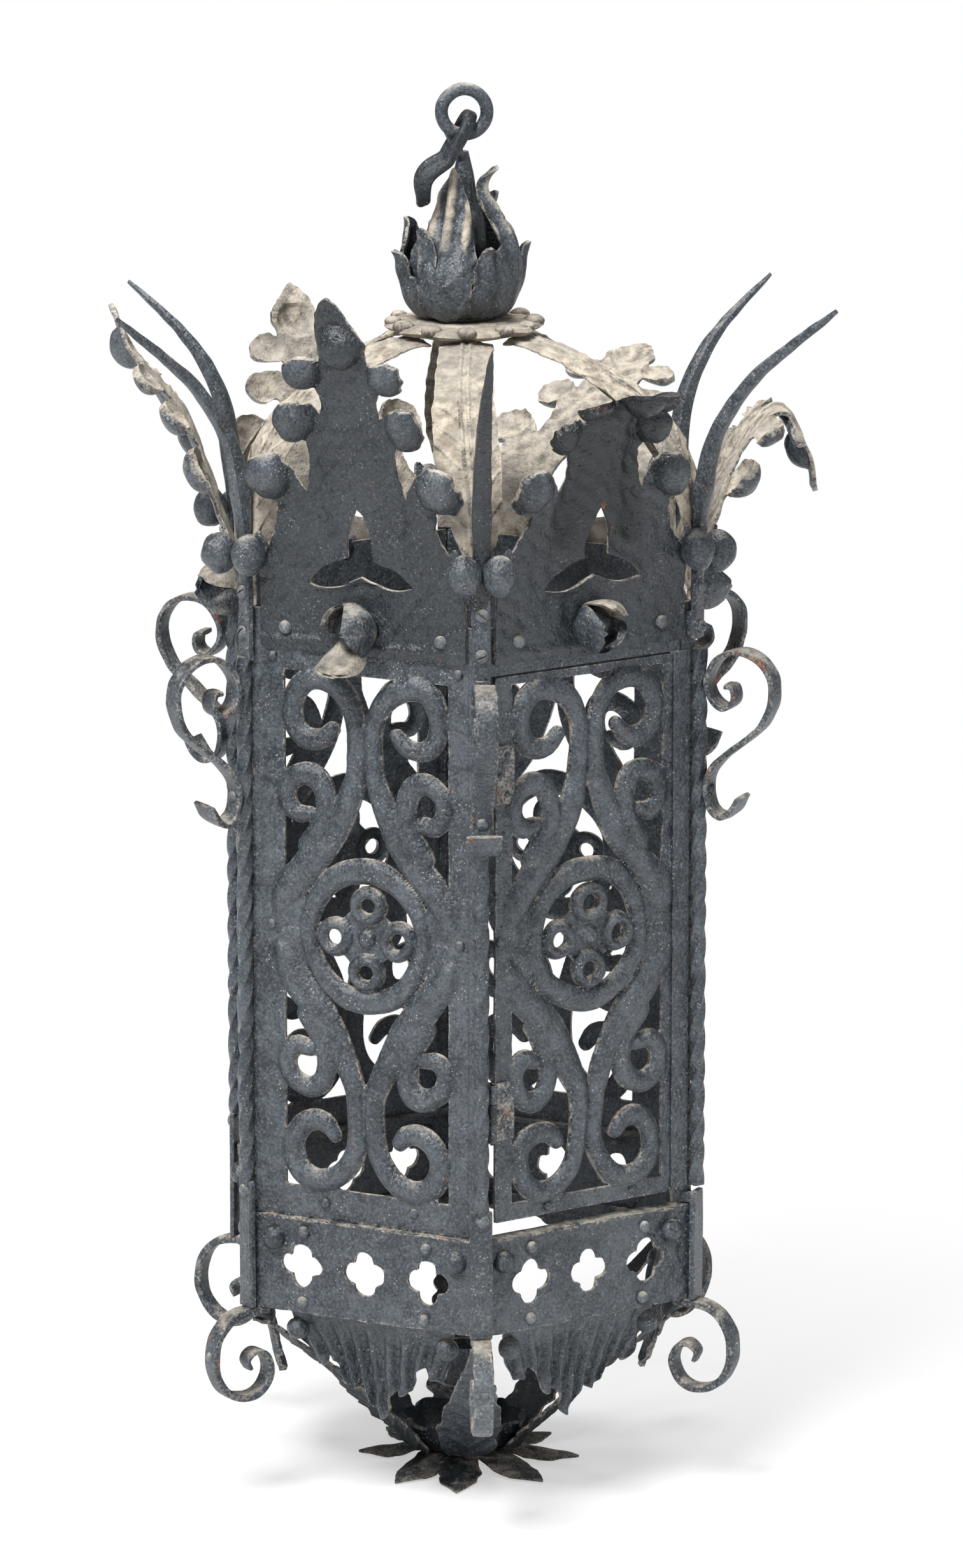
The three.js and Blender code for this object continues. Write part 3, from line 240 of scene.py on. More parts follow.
class Body:
    """Points in millimetres, faces, how worn each point is and how much dust lies on it, negative where shade is
    painted, gathered into one mesh.
    """

    def __init__(self, dust=0.0):
        self.points, self.faces, self.wear, self.dusty, self.count = [], [], [], [], 0
        self.dust = dust

    def add(self, points, faces, wear=0.0, dust=None):
        p = np.asarray(points, float).reshape(-1, 3)
        self.points.append(p)
        self.wear.append(np.broadcast_to(np.asarray(wear, float), len(p)))
        self.dusty.append(np.broadcast_to(np.asarray(self.dust if dust is None else dust, float), len(p)))
        self.faces.extend(np.asarray(f) + self.count for f in faces if len(f))
        self.count += len(p)

    def closed(self, points, faces, wear=0.0):
        """Adds a closed solid, turned so that its faces point outwards."""
        p = np.asarray(points, float).reshape(-1, 3)
        volume = 0.0
        for f in faces:
            f = np.asarray(f)
            for k in range(1, f.shape[1] - 1):
                volume += np.einsum("ij,ij->", p[f[:, 0]], np.cross(p[f[:, k]], p[f[:, k + 1]]))
        if volume < 0:
            faces = [np.asarray(f)[:, ::-1] for f in faces]
        self.add(p, faces, wear)

    def sweep(self, rings, wear=0.0, loop=False):
        """Skin over rings of as many points each, with its ends closed."""
        r = np.asarray(rings, float)
        n, m = r.shape[:2]
        i = np.arange(n if loop else n - 1)[:, None]
        k = np.arange(m)[None, :]
        j = (i + 1) % n
        quads = np.stack([i * m + k, i * m + (k + 1) % m, j * m + (k + 1) % m, j * m + k], -1).reshape(-1, 4)
        points, faces = r.reshape(-1, 3), [quads]
        w = np.broadcast_to(np.asarray(wear, float), (n, m)).reshape(-1)
        if not loop:
            points = np.vstack([points, r[0].mean(0), r[-1].mean(0)])
            w = np.r_[w, w[0], w[-1]]
            around = np.arange(m)
            after = (around + 1) % m
            first = np.stack([np.full(m, n * m), after, around], 1)
            last = np.stack([np.full(m, n * m + 1), (n - 1) * m + around, (n - 1) * m + after], 1)
            faces += [first, last]
        self.closed(points, faces, w)

    def pressed(self, field, lift, bend, box, step, thickness, azimuth=None, dust=None, back_dust_and_shade=None):
        """Sheet cut to a field, pressed into relief, bent to its place and given its thickness."""
        points, triangles, rim = trace(field, *box, step)
        u, v = points[:, 0], points[:, 1]
        depth = field(u, v)
        height = lift(u, v)
        front = bend(u, v, height + thickness / 2)
        back = bend(u, v, height * 0.55 - thickness / 2)
        if azimuth is not None:
            front, back = place(front, azimuth), place(back, azimuth)
        n = len(points)
        walls = np.stack([rim[:, 0], rim[:, 0] + n, rim[:, 1] + n, rim[:, 1]], 1)
        worn = np.exp(-np.clip(depth, 0, None) / 1.6)
        # Dust on the front and back faces; negative values paint shade.
        near = self.dust if dust is None else dust(u, v)
        far = near if back_dust_and_shade is None else back_dust_and_shade(u, v) if callable(back_dust_and_shade) else back_dust_and_shade
        dust_and_shade = np.r_[np.broadcast_to(near, n), np.broadcast_to(far, n)]
        self.add(np.vstack([front, back]), [triangles, triangles[:, ::-1] + n, walls], np.r_[worn, worn],
                 dust_and_shade)

    def lathe(self, profile, segments, wear=0.0, wave=None, centre=(0.0, 0.0)):
        """Closed profile of (radius, height) turned about a vertical axis."""
        profile = np.asarray(profile, float)
        a = 2 * math.pi * np.arange(segments) / segments
        r = np.repeat(profile[None, :, 0], segments, 0)
        z = np.repeat(profile[None, :, 1], segments, 0)
        if wave is not None:
            r, z = wave(a[:, None], r, z)
        rings = np.stack([centre[0] + r * np.cos(a)[:, None], centre[1] + r * np.sin(a)[:, None], z], -1)
        self.sweep(rings, wear, loop=True)

    def ball(self, centre, radius, azimuth=None, squash=(1, 1, 1), segments=20, rings=12, wear=0.15):
        a = 2 * math.pi * np.arange(segments) / segments
        b = math.pi * (np.arange(rings) + 0.5) / rings
        grid = np.stack([np.cos(a)[None] * np.sin(b)[:, None], np.sin(a)[None] * np.sin(b)[:, None],
                         np.repeat(np.cos(b)[:, None], segments, 1)], -1)
        grid = grid * radius * np.asarray(squash) + np.asarray(centre, float)
        if azimuth is not None:
            grid = place(grid, azimuth)
        self.sweep(grid, wear)

    def strap(self, path, width, thickness, azimuth, crown=0.5, lean=0.0, shift=0.0, wear=0.5):
        """Flat bar with eased edges, bent in the radial plane along (radius, height) points."""
        t = np.gradient(path, axis=0)
        t /= np.linalg.norm(t, axis=1)[:, None]
        normal = np.stack([-t[:, 1], t[:, 0]], 1)
        w = np.broadcast_to(width, len(path)) / 2
        d = np.broadcast_to(thickness, len(path)) / 2
        ease = np.minimum(0.7, d * 0.45)
        y = np.stack([-w + ease, 0 * w, w - ease, w, w, w - ease, 0 * w, -w + ease, -w, -w], 1)
        h = np.stack([-d, -d - crown * 0.4, -d, -d + ease, d - ease, d, d + crown * 0.4, d, d - ease,
                      -d + ease], 1)
        y = y + lean * (path[:, 1:2] - path[:1, 1:2]) + shift
        rings = np.stack([path[:, :1] + normal[:, :1] * h, y, path[:, 1:] + normal[:, 1:] * h], -1)
        worn = np.broadcast_to(np.array([1, 0, 1, 1, 1, 1, 0, 1, 1, 1.0]) * wear, h.shape)
        self.sweep(place(rings, azimuth), worn)

    def tube(self, path, radius, segments=12, loop=False, twist=0.0, flat=1.0, wear=0.2):
        """Round bar along points in space."""
        p = np.asarray(path, float)
        if loop:
            t = np.roll(p, -1, 0) - np.roll(p, 1, 0)
        else:
            t = np.gradient(p, axis=0)
        t /= np.linalg.norm(t, axis=1)[:, None]
        side = np.cross(t[0], [0.3, 0.5, 0.81])
        rings = []
        radius = np.broadcast_to(radius, len(p))
        for k in range(len(p)):
            side = side - t[k] * (side @ t[k])
            side /= np.linalg.norm(side)
            other = np.cross(t[k], side)
            a = 2 * math.pi * np.arange(segments) / segments
            ridge = 1 + twist * 0.12 * np.cos(3 * a + 2 * math.pi * k * 2.5 / len(p) * (twist > 0))
            rings.append(p[k] + radius[k] * ridge[:, None] * (np.cos(a)[:, None] * side
                                                            + flat * np.sin(a)[:, None] * other))
        self.sweep(rings, wear, loop)

    def slab(self, low, high, azimuth, ease=0.5, wear=0.4):
        """Plate between two (out, side, up) corners, with eased upright edges."""
        (a, b, c), (d, e, f) = low, high
        e1 = min(ease, (d - a) / 3, (e - b) / 3)
        plan = [(a, b), (d - e1, b), (d, b + e1), (d, e - e1), (d - e1, e), (a, e)]
        rings = []
        for z, inset in ((c, e1 * 0.6), (c + e1, 0), (f - e1, 0), (f, e1 * 0.6)):
            mid = np.array([(a + d) / 2, (b + e) / 2])
            ring = [np.array(q) + (mid - np.array(q)) * inset / max(d - a, e - b) for q in plan]
            rings.append([(*q, z) for q in ring])
        extra = np.linspace(rings[1], rings[2], max(2, int((f - c) / 12)))
        rings = [rings[0], *extra, rings[3]]
        self.sweep(place(rings, azimuth), wear)

    def mesh(self, name, dent=0.22, seed=1, sharp=38):
        p = np.vstack(self.points)
        if dent:
            shift = np.stack([wobble(p, 16, seed + k) for k in range(3)], 1)
            p = p + dent * shift
        mesh = bpy.data.meshes.new(name)
        totals = np.concatenate([np.full(len(f), f.shape[1]) for f in self.faces])
        corners = np.concatenate([f.reshape(-1) for f in self.faces])
        mesh.vertices.add(len(p))
        mesh.vertices.foreach_set("co", (p * MM).astype(np.float32).ravel())
        mesh.loops.add(len(corners))
        mesh.loops.foreach_set("vertex_index", corners.astype(np.int32))
        mesh.polygons.add(len(totals))
        mesh.polygons.foreach_set("loop_start", np.r_[0, np.cumsum(totals)[:-1]].astype(np.int32))
        mesh.update(calc_edges=True)
        mesh.validate()
        # The dust attribute holds dust where it is positive and painted shade where it is negative.
        for key, values in (("wear", self.wear), ("dust", self.dusty)):
            layer = mesh.attributes.new(key, "FLOAT", "POINT")
            layer.data.foreach_set("value", np.concatenate(values).astype(np.float32))
        mesh.shade_smooth()
        mesh.set_sharp_from_angle(angle=math.radians(sharp))
        return mesh


def bender(path, azimuth_curl=None):
    """Maps (across, along, height) onto a bent sheet whose middle line follows (out, up) points."""
    fine = smooth(path, 160)
    steps = np.r_[0, np.cumsum(np.linalg.norm(np.diff(fine, axis=0), axis=1))]
    t = np.gradient(fine, axis=0)
    t /= np.linalg.norm(t, axis=1)[:, None]

    def bend(u, v, h):
        out, up = np.interp(v, steps, fine[:, 0]), np.interp(v, steps, fine[:, 1])
        tr, tz = np.interp(v, steps, t[:, 0]), np.interp(v, steps, t[:, 1])
        side, off = u, h
        if azimuth_curl is not None:
            curl = azimuth_curl(v / steps[-1])
            side = (curl + h) * np.sin(u / curl)
            off = (curl + h) * np.cos(u / curl) - curl
        return np.stack([out + tz * off, side, up - tr * off], -1)

    bend.length = steps[-1]
    return bend


def toothed(length, width, teeth, bite=0.2, point=0.45):
    """Outline of a leaf with pointed lobes; width gives the half-width at a share of the length."""
    right = [(width(0.0), 0.0)]
    for k in range(teeth):
        a, b = k / teeth, (k + 1) / teeth
        tip = a + (b - a) * (0.5 + point)
        right.append((width(a + (b - a) * 0.45) * 1.0, length * (a + (b - a) * 0.45)))
        right.append((width(tip) * 1.05, length * min(tip, 0.985)))
        if k < teeth - 1:
            right.append((width(b) * (1 - bite), length * b))
    return right + [(0.0, length)] + [(-x, y) for x, y in reversed(right)]


def veins(u, v, gap, slope, height):
    """Raised middle rib with side veins that leave it at a slant."""
    a = np.abs(u)
    wave = np.clip(np.cos(2 * math.pi * (v + slope * a) / gap), 0, 1) ** 2
    return height * (np.exp(-(a / 2.6) ** 2) + 0.55 * wave * ramp(a, 1.5, 4))


# Node graphs

class Wire:
    """A socket of a node graph, on which sums can be written as plain Python."""

    def __init__(self, graph, socket):
        self.graph, self.socket = graph, socket

    def _math(self, operation, a, b=None, clamp=False):
        inputs = {0: a} if b is None else {0: a, 1: b}
        return self.graph.node("ShaderNodeMath", {"operation": operation, "use_clamp": clamp}, inputs)

    def __add__(self, other):
        return self._math("ADD", self, other)

    __radd__ = __add__

    def __sub__(self, other):
        return self._math("SUBTRACT", self, other)

    def __rsub__(self, other):
        return self._math("SUBTRACT", other, self)

    def __mul__(self, other):
        return self._math("MULTIPLY", self, other)

    __rmul__ = __mul__

    def __truediv__(self, other):
        return self._math("DIVIDE", self, other)

    def __rtruediv__(self, other):
        return self._math("DIVIDE", other, self)

    def most(self, other):
        return self._math("MAXIMUM", self, other)

    def between(self, low, high):
        """Eased step from 0 at low to 1 at high."""
        return self.graph.node("ShaderNodeMapRange", {"interpolation_type": "SMOOTHSTEP"},
                               {"Value": self, "From Min": low, "From Max": high})


class Graph:
    """Adds nodes to a tree: type, settings first, then values or wires for the sockets."""

    def __init__(self, tree):
        self.tree = tree

    def node(self, kind, settings=None, inputs=None, output=0):
        made = self.tree.nodes.new(kind)
        for key, value in (settings or {}).items():
            if key == "stops":
                for stop, (at, colour) in zip(made.color_ramp.elements, value):
                    stop.position, stop.color = at, (*colour, 1)
            else:
                setattr(made, key, value)
        for key, value in (inputs or {}).items():
            if isinstance(value, Wire):
                self.tree.links.new(value.socket, made.inputs[key])
            else:
                made.inputs[key].default_value = value
        return Wire(self, made.outputs[output]) if made.outputs else made

    def blend(self, share, a, b):
        """Colour between two colours or colour wires."""
        colour = lambda c: c if isinstance(c, Wire) else (*c, 1)
        return self.node("ShaderNodeMix", {"data_type": "RGBA"}, {0: share, 6: colour(a), 7: colour(b)}, 2)

    def noise(self, at, scale, detail=3.0, roughness=0.55):
        return self.node("ShaderNodeTexNoise", None,
                         {"Vector": at, "Scale": scale, "Detail": detail, "Roughness": roughness})


def iron(name, dark, light, dust, rust, roughness):
    """Old painted iron: mottled paint, dust on what looks up, painted shade (with some soot over the door) where the
    dust attribute is negative, rust spots, pale flecks, pitted relief.
    """
    colours = bpy.context.scene.lantern_finish
    material = bpy.data.materials.new(name)
    material.use_nodes = True
    material.node_tree.nodes.clear()
    g = Graph(material.node_tree)
    at = g.node("ShaderNodeTexCoord", output="Object")
    normal = g.node("ShaderNodeNewGeometry", output="Normal")
    up = g.node("ShaderNodeSeparateXYZ", None, {"Vector": normal}, "Z")
    wear = g.node("ShaderNodeAttribute", {"attribute_name": "wear"}, output="Fac")
    dust_and_shade = g.node("ShaderNodeAttribute", {"attribute_name": "dust"}, output="Fac")
    patches = g.noise(at, 26.0, 4.0)
    mottle = g.noise(at, 130.0, 5.0, 0.62)
    grain = g.noise(at, 620.0, 3.0, 0.6)
    spots = g.noise(at, 75.0, 6.0, 0.7)
    pits = g.node("ShaderNodeTexVoronoi", {"feature": "SMOOTH_F1"}, {"Vector": at, "Scale": 260.0})
    flecks = g.node("ShaderNodeTexVoronoi", None, {"Vector": at, "Scale": 430.0})
    fleck_pick = g.noise(at, 70.0, 3.0)

    # Painted shade: a negative dust attribute darkens the paint almost to black and keeps dust, pale edges and flecks
    # off it; on the crest over the door it also stands for soot.
    shade_and_soot = (0 - dust_and_shade + (mottle - 0.5) * 0.5).between(0.1, 0.9)
    dark = g.blend(shade_and_soot * 0.9, dark, [0.26 * x for x in dark])
    paint = g.blend((patches * 0.3 + mottle * 0.34 + grain * 0.5).between(0.43, 0.72) * (1 - shade_and_soot * 0.93),
                    dark, light)
    paint = g.blend(grain.between(0.54, 0.78) * (0.28 - shade_and_soot * 0.22), paint, colours.paint_pale)
    uneven = (mottle - 0.5) * 0.75 + (patches - 0.5) * 0.7 + (grain - 0.5) * 0.35
    settled = (up * 0.62 + uneven).between(0.62 - 0.52 * dust, 1.02 - 0.45 * dust) * (0.55 + 0.4 * dust)
    coated = (dust_and_shade + uneven * 0.9).between(0.25, 0.75) * 0.9
    settled = settled.most(coated) * (1 - shade_and_soot * 0.85)
    tone = g.blend(mottle.between(0.34, 0.66), colours.dust_dark, colours.dust_pale)
    paint = g.blend(settled, paint, g.blend(patches.between(0.42, 0.62) * 0.35, tone, colours.dust_grey))
    edges = wear * (0.5 - shade_and_soot * 0.4) + (grain - 0.5) * 0.7 + (mottle - 0.5) * 0.6
    paint = g.blend(edges.between(0.36, 0.68) * 0.62, paint, colours.dust_pale)
    rusty = (spots + wear * 0.07).between(0.7 - 0.08 * rust, 0.78 - 0.08 * rust)
    rusty = rusty * grain.between(0.36, 0.56)
    paint = g.blend(rusty * 0.85, paint,
                    g.blend(grain.between(0.4, 0.65), colours.rust_dark, colours.rust_light))
    pale = (1 - flecks.between(0.12, 0.24)) * fleck_pick.between(0.5, 0.62)
    paint = g.blend(pale * (0.75 - shade_and_soot * 0.6), paint, colours.chalk)

    rough = roughness + (mottle - 0.5) * 0.3 + settled * 0.35 + rusty * 0.3
    relief = mottle * 0.5 + grain * 0.7 + patches * 0.5 - (1 - pits.between(0.0, 0.34)) * 0.45 + settled * 0.2
    bump = g.node("ShaderNodeBump", None, {"Height": relief, "Strength": 0.8, "Distance": 0.0012})
    shader = g.node("ShaderNodeBsdfPrincipled", None, {
        "Base Color": paint, "Roughness": rough, "Metallic": 0.0, "Normal": bump, "Specular IOR Level": 0.5})
    g.node("ShaderNodeOutputMaterial", None, {"Surface": shader})
    return material


def node_group(name, sockets):
    """Geometry tree with named inputs; returns the graph, its inputs as wires, and a closing function."""
    tree = bpy.data.node_groups.new(name, "GeometryNodeTree")
    tree.interface.new_socket("Geometry", in_out="INPUT", socket_type="NodeSocketGeometry")
    for label, kind, value in sockets:
        socket = tree.interface.new_socket(label, in_out="INPUT", socket_type=kind)
        if value is not None:
            socket.default_value = value
    tree.interface.new_socket("Geometry", in_out="OUTPUT", socket_type="NodeSocketGeometry")
    g = Graph(tree)
    start = tree.nodes.new("NodeGroupInput")
    wires = {socket.name: Wire(g, socket) for socket in start.outputs if socket.name}

    def close(geometry):
        real = g.node("GeometryNodeRealizeInstances", None, {"Geometry": geometry})
        done = g.node("GeometryNodeSetMaterial", None, {"Geometry": real, "Material": wires["Finish"]})
        end = tree.nodes.new("NodeGroupOutput")
        tree.links.new(done.socket, end.inputs["Geometry"])
        return tree

    return g, wires, close


FINISH_SOCKET = ("Finish", "NodeSocketMaterial", None)


def twisted_bar_tree():
    if "twisted_bar" in bpy.data.node_groups:
        return bpy.data.node_groups["twisted_bar"]
    g, w, close = node_group("twisted_bar", [
        ("Bottom", "NodeSocketFloat", 0.19), ("Top", "NodeSocketFloat", 0.51),
        ("Edge Radius", "NodeSocketFloat", 0.0052),
        ("Turn", "NodeSocketFloat", 0.072), ("Start", "NodeSocketFloat", 0.0), ("Steps", "NodeSocketInt", 96),
        ("Foot", "NodeSocketVector", (0, 0, 0)), FINISH_SOCKET])
    low = g.node("ShaderNodeCombineXYZ", None, {"Z": w["Bottom"]})
    high = g.node("ShaderNodeCombineXYZ", None, {"Z": w["Top"]})
    line = g.node("GeometryNodeCurvePrimitiveLine", None, {"Start": low, "End": high})
    line = g.node("GeometryNodeResampleCurve", None, {"Curve": line, "Count": w["Steps"]})
    height = g.node("ShaderNodeSeparateXYZ", None, {"Vector": g.node("GeometryNodeInputPosition")}, "Z")
    uneven = g.node("ShaderNodeTexNoise", {"noise_dimensions": "1D"},
                    {"W": height * 14 + w["Start"], "Scale": 1.0})
    tilt = (height - w["Bottom"]) / w["Turn"] * (2 * math.pi) + w["Start"] + (uneven - 0.5) * 1.6
    line = g.node("GeometryNodeSetCurveTilt", None, {"Curve": line, "Tilt": tilt})
    width = w["Edge Radius"] * math.sqrt(2)
    square = g.node("GeometryNodeCurvePrimitiveQuadrilateral", None, {"Width": width, "Height": width})
    square = g.node("GeometryNodeFilletCurve", {"mode": "POLY"},
                    {"Curve": square, "Radius": 0.0011, "Count": 3})
    bar = g.node("GeometryNodeCurveToMesh", None, {"Curve": line, "Profile Curve": square, "Fill Caps": True})
    spot = g.node("GeometryNodeInputPosition")
    flat = g.node("ShaderNodeVectorMath", {"operation": "MULTIPLY"}, {0: spot, 1: (1, 1, 0)})
    reach = g.node("ShaderNodeVectorMath", {"operation": "LENGTH"}, {0: flat}, "Value")
    worn = g.node("ShaderNodeMapRange", None,
                  {"Value": reach / w["Edge Radius"], "From Min": 0.86, "From Max": 0.95,
                                               "To Max": 0.8})
    bar = g.node("GeometryNodeStoreNamedAttribute", {"data_type": "FLOAT", "domain": "POINT"},
                 {"Geometry": bar, "Name": "wear", "Value": worn})
    bar = g.node("GeometryNodeTransform", None, {"Geometry": bar, "Translation": w["Foot"]})
    return close(bar)


def heads_tree(name, slotted):
    """Rivet or slotted screw heads on points that carry which way they look and how large they are."""
    if name in bpy.data.node_groups:
        return bpy.data.node_groups[name]
    g, w, close = node_group(name,
                             [("Rise", "NodeSocketFloat", 0.62), ("Segments", "NodeSocketInt", 16),
                              FINISH_SOCKET])
    head = g.node("GeometryNodeMeshUVSphere", None, {"Segments": w["Segments"], "Rings": 10, "Radius": 1.0},
                  "Mesh")
    tall = g.node("ShaderNodeCombineXYZ", None, {"X": 1.0, "Y": 1.0, "Z": w["Rise"]})
    head = g.node("GeometryNodeTransform", None, {"Geometry": head, "Scale": tall})
    if slotted:
        slot = g.node("GeometryNodeMeshCube", None, {"Size": (2.4, 0.26, 0.7)}, "Mesh")
        slot = g.node("GeometryNodeTransform", None, {"Geometry": slot, "Translation": (0, 0, 0.72)})
        head = g.node("GeometryNodeMeshBoolean", {"operation": "DIFFERENCE"},
                      {"Mesh 1": head, "Mesh 2": slot}, "Mesh")
    facing = g.node("GeometryNodeInputNamedAttribute", {"data_type": "FLOAT_VECTOR"}, {"Name": "facing"})
    size = g.node("GeometryNodeInputNamedAttribute", {"data_type": "FLOAT"}, {"Name": "size"})
    turn = g.node("FunctionNodeAlignRotationToVector", {"axis": "Z"}, {"Vector": facing})
    if slotted:
        spin = g.node("FunctionNodeRandomValue", {"data_type": "FLOAT"}, {2: -0.9, 3: 0.9, "Seed": 4}, 1)
        own = g.node("ShaderNodeCombineXYZ", None, {"Z": spin})
        local = g.node("FunctionNodeEulerToRotation", None, {"Euler": own})
        turn = g.node("FunctionNodeRotateRotation", {"rotation_space": "LOCAL"},
                      {"Rotation": turn, "Rotate By": local})
    made = g.node("GeometryNodeInstanceOnPoints", None,
                  {"Points": w["Geometry"], "Instance": head, "Rotation": turn, "Scale": size})
    return close(made)


def rim_bosses_tree():
    if "rim_bosses" in bpy.data.node_groups:
        return bpy.data.node_groups["rim_bosses"]
    g, w, close = node_group("rim_bosses", [
        ("Count", "NodeSocketInt", 12), ("Reach", "NodeSocketFloat", 0.041),
        ("Boss", "NodeSocketFloat", 0.0058),
        ("Height", "NodeSocketFloat", 0.693), ("Seed", "NodeSocketInt", 3), FINISH_SOCKET])
    ring = g.node("GeometryNodeMeshCircle", None, {"Vertices": w["Count"], "Radius": w["Reach"]})
    lift = g.node("ShaderNodeCombineXYZ", None, {"Z": w["Height"]})
    ring = g.node("GeometryNodeTransform", None, {"Geometry": ring, "Translation": lift})
    shift = g.node("FunctionNodeRandomValue", {"data_type": "FLOAT_VECTOR"},
                   {0: (-0.0012, -0.0012, -0.0004), 1: (0.0012, 0.0012, 0.0004), "Seed": w["Seed"]}, 0)
    ring = g.node("GeometryNodeSetPosition", None, {"Geometry": ring, "Offset": shift})
    boss = g.node("GeometryNodeMeshUVSphere", None, {"Segments": 16, "Rings": 10, "Radius": w["Boss"]},
                  "Mesh")
    boss = g.node("GeometryNodeTransform", None, {"Geometry": boss, "Scale": (1.0, 1.0, 0.62)})
    size = g.node("FunctionNodeRandomValue", {"data_type": "FLOAT"}, {2: 0.8, 3: 1.15, "Seed": w["Seed"]}, 1)
    made = g.node("GeometryNodeInstanceOnPoints", None, {"Points": ring, "Instance": boss, "Scale": size})
    return close(made)


def grown(name, tree, values, finish, host=None):
    """Runs a geometry tree once and returns its result as a plain mesh."""
    mesh = host or bpy.data.meshes.new(name + "_host")
    holder = bpy.data.objects.new(name + "_holder", mesh)
    bpy.context.scene.collection.objects.link(holder)
    modifier = holder.modifiers.new("grow", "NODES")
    modifier.node_group = tree
    for item in tree.interface.items_tree:
        if item.item_type == "SOCKET" and item.in_out == "INPUT" and item.name in values:
            modifier[item.identifier] = values[item.name]
        if item.item_type == "SOCKET" and item.in_out == "INPUT" and item.name == "Finish":
            modifier[item.identifier] = finish
    bpy.context.view_layer.update()
    result = bpy.data.meshes.new_from_object(holder.evaluated_get(bpy.context.evaluated_depsgraph_get()))
    holder.modifiers.remove(modifier)
    bpy.data.objects.remove(holder)
    bpy.data.meshes.remove(mesh)
    result.name = name
    if not len(result.polygons):
        raise RuntimeError(name + " came out empty")
    return result


def put(name, mesh, finish, body, nodes=(), sharp=None):
    """Makes a mesh a piece of the lantern on its CAD body."""
    mesh.materials.clear()
    mesh.materials.append(finish)
    if sharp is not None:
        mesh.shade_smooth()
        mesh.set_sharp_from_angle(angle=math.radians(sharp))
    piece = bpy.data.objects.new(name, mesh)
    bpy.context.scene.collection.objects.link(piece)
    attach(piece, body)
    if nodes:
        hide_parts(*nodes)
    return piece


def heads(name, places, body, finish, slotted=False, rise=0.62):
    """Rivets or screws from (azimuth, out, side, up, radius[, facing]) rows."""
    host = bpy.data.meshes.new(name + "_points")
    spots, ways, sizes = [], [], []
    for row in places:
        azimuth, out, side, up, radius = row[:5]
        way = row[5] if len(row) > 5 else (1, 0, 0)
        spots.append(place((out, side, up), azimuth) * MM)
        ways.append(place(way, azimuth))
        sizes.append(radius * MM)
    host.vertices.add(len(spots))
    host.vertices.foreach_set("co", np.ravel(spots))
    host.attributes.new("facing", "FLOAT_VECTOR", "POINT").data.foreach_set("vector", np.ravel(ways))
    host.attributes.new("size", "FLOAT", "POINT").data.foreach_set("value", sizes)
    tree = heads_tree("slotted_heads" if slotted else "rivet_heads", slotted)
    mesh = grown(name, tree, {"Rise": rise}, finish, host)
    return put(name, mesh, finish, body, sharp=40)


class LanternFinish(bpy.types.PropertyGroup):
    """Colours of the lantern's paint, dust and rust."""
    # The dark paint is also the base of the painted shade, which darkens it further.
    paint_dark: FloatVectorProperty(name="Dark paint", description="Slate paint in the hollows",
                                    subtype="COLOR",
                                    default=linear(34, 40, 46), min=0, max=1)
    paint_light: FloatVectorProperty(name="Light paint", description="Slate paint where it has dulled",
                                     subtype="COLOR", default=linear(82, 88, 94), min=0, max=1)
    paint_pale: FloatVectorProperty(name="Pale grain", description="Chalky grain in the paint",
                                    subtype="COLOR",
                                    default=linear(128, 134, 138), min=0, max=1)
    dust_dark: FloatVectorProperty(name="Dark dust", description="Dust in thin patches", subtype="COLOR",
                                   default=linear(140, 130, 116), min=0, max=1)
    dust_pale: FloatVectorProperty(name="Pale dust", description="Dust where it lies thick", subtype="COLOR",
                                   default=linear(188, 178, 162), min=0, max=1)
    dust_grey: FloatVectorProperty(name="Grey dust", description="Dust with the slate paint showing through",
                                   subtype="COLOR", default=linear(116, 118, 118), min=0, max=1)
    chalk: FloatVectorProperty(name="Chalk flecks", description="Small pale flecks in the paint",
                               subtype="COLOR",
                               default=linear(178, 178, 172), min=0, max=1)
    rust_dark: FloatVectorProperty(name="Dark rust", description="Old rust", subtype="COLOR",
                                   default=linear(92, 58, 42), min=0, max=1)
    rust_light: FloatVectorProperty(name="Orange rust", description="Fresh rust", subtype="COLOR",
                                    default=linear(150, 96, 68), min=0, max=1)


class LanternSizes(bpy.types.PropertyGroup):
    """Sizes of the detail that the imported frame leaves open."""
    ribbon_rise: FloatProperty(name="Ribbon rise",
                               description="How far the openwork's ribbons stand up, in millimetres",
                               default=4.2, min=0.5, max=6)
    bar_turn: FloatProperty(name="Bar turn", description="Length of one full turn of the twisted bars",
                            default=0.072, min=0.02, max=0.3, unit="LENGTH")
    rivet: FloatProperty(name="Rivet", description="Radius of the common rivets, in millimetres", default=3.3,
                         min=1, max=6)
    dent: FloatProperty(name="Dents", description="How uneven the hammered pieces are, in millimetres",
                        default=0.3, min=0, max=1)
    hub_bosses: IntProperty(name="Hub bosses", description="Bosses round the rim of the hub plate",
                            default=12, min=3, max=40)


def finish_of(name):
    """The iron finishes, made once each."""
    if name in bpy.data.materials:
        return bpy.data.materials[name]
    c = bpy.context.scene.lantern_finish
    if name == "slate_iron":
        return iron(name, c.paint_dark, c.paint_light, 0.5, 0.45, 0.36)
    if name == "dusty_iron":
        return iron(name, c.paint_dark, c.dust_dark, 1.0, 0.35, 0.72)
    if name == "dark_iron":
        return iron(name, [0.6 * x for x in c.paint_dark], c.paint_dark, 0.3, 0.3, 0.55)
    if name == "bare_iron":
        return iron(name, c.paint_dark, c.paint_light, 0.6, 0.75, 0.46)
    if name == "worn_iron":
        return iron(name, [0.6 * x for x in c.paint_light], [0.75 * x for x in c.paint_pale], 0.75, 0.9, 0.5)
    raise ValueError(name)


# Openwork panels and the door

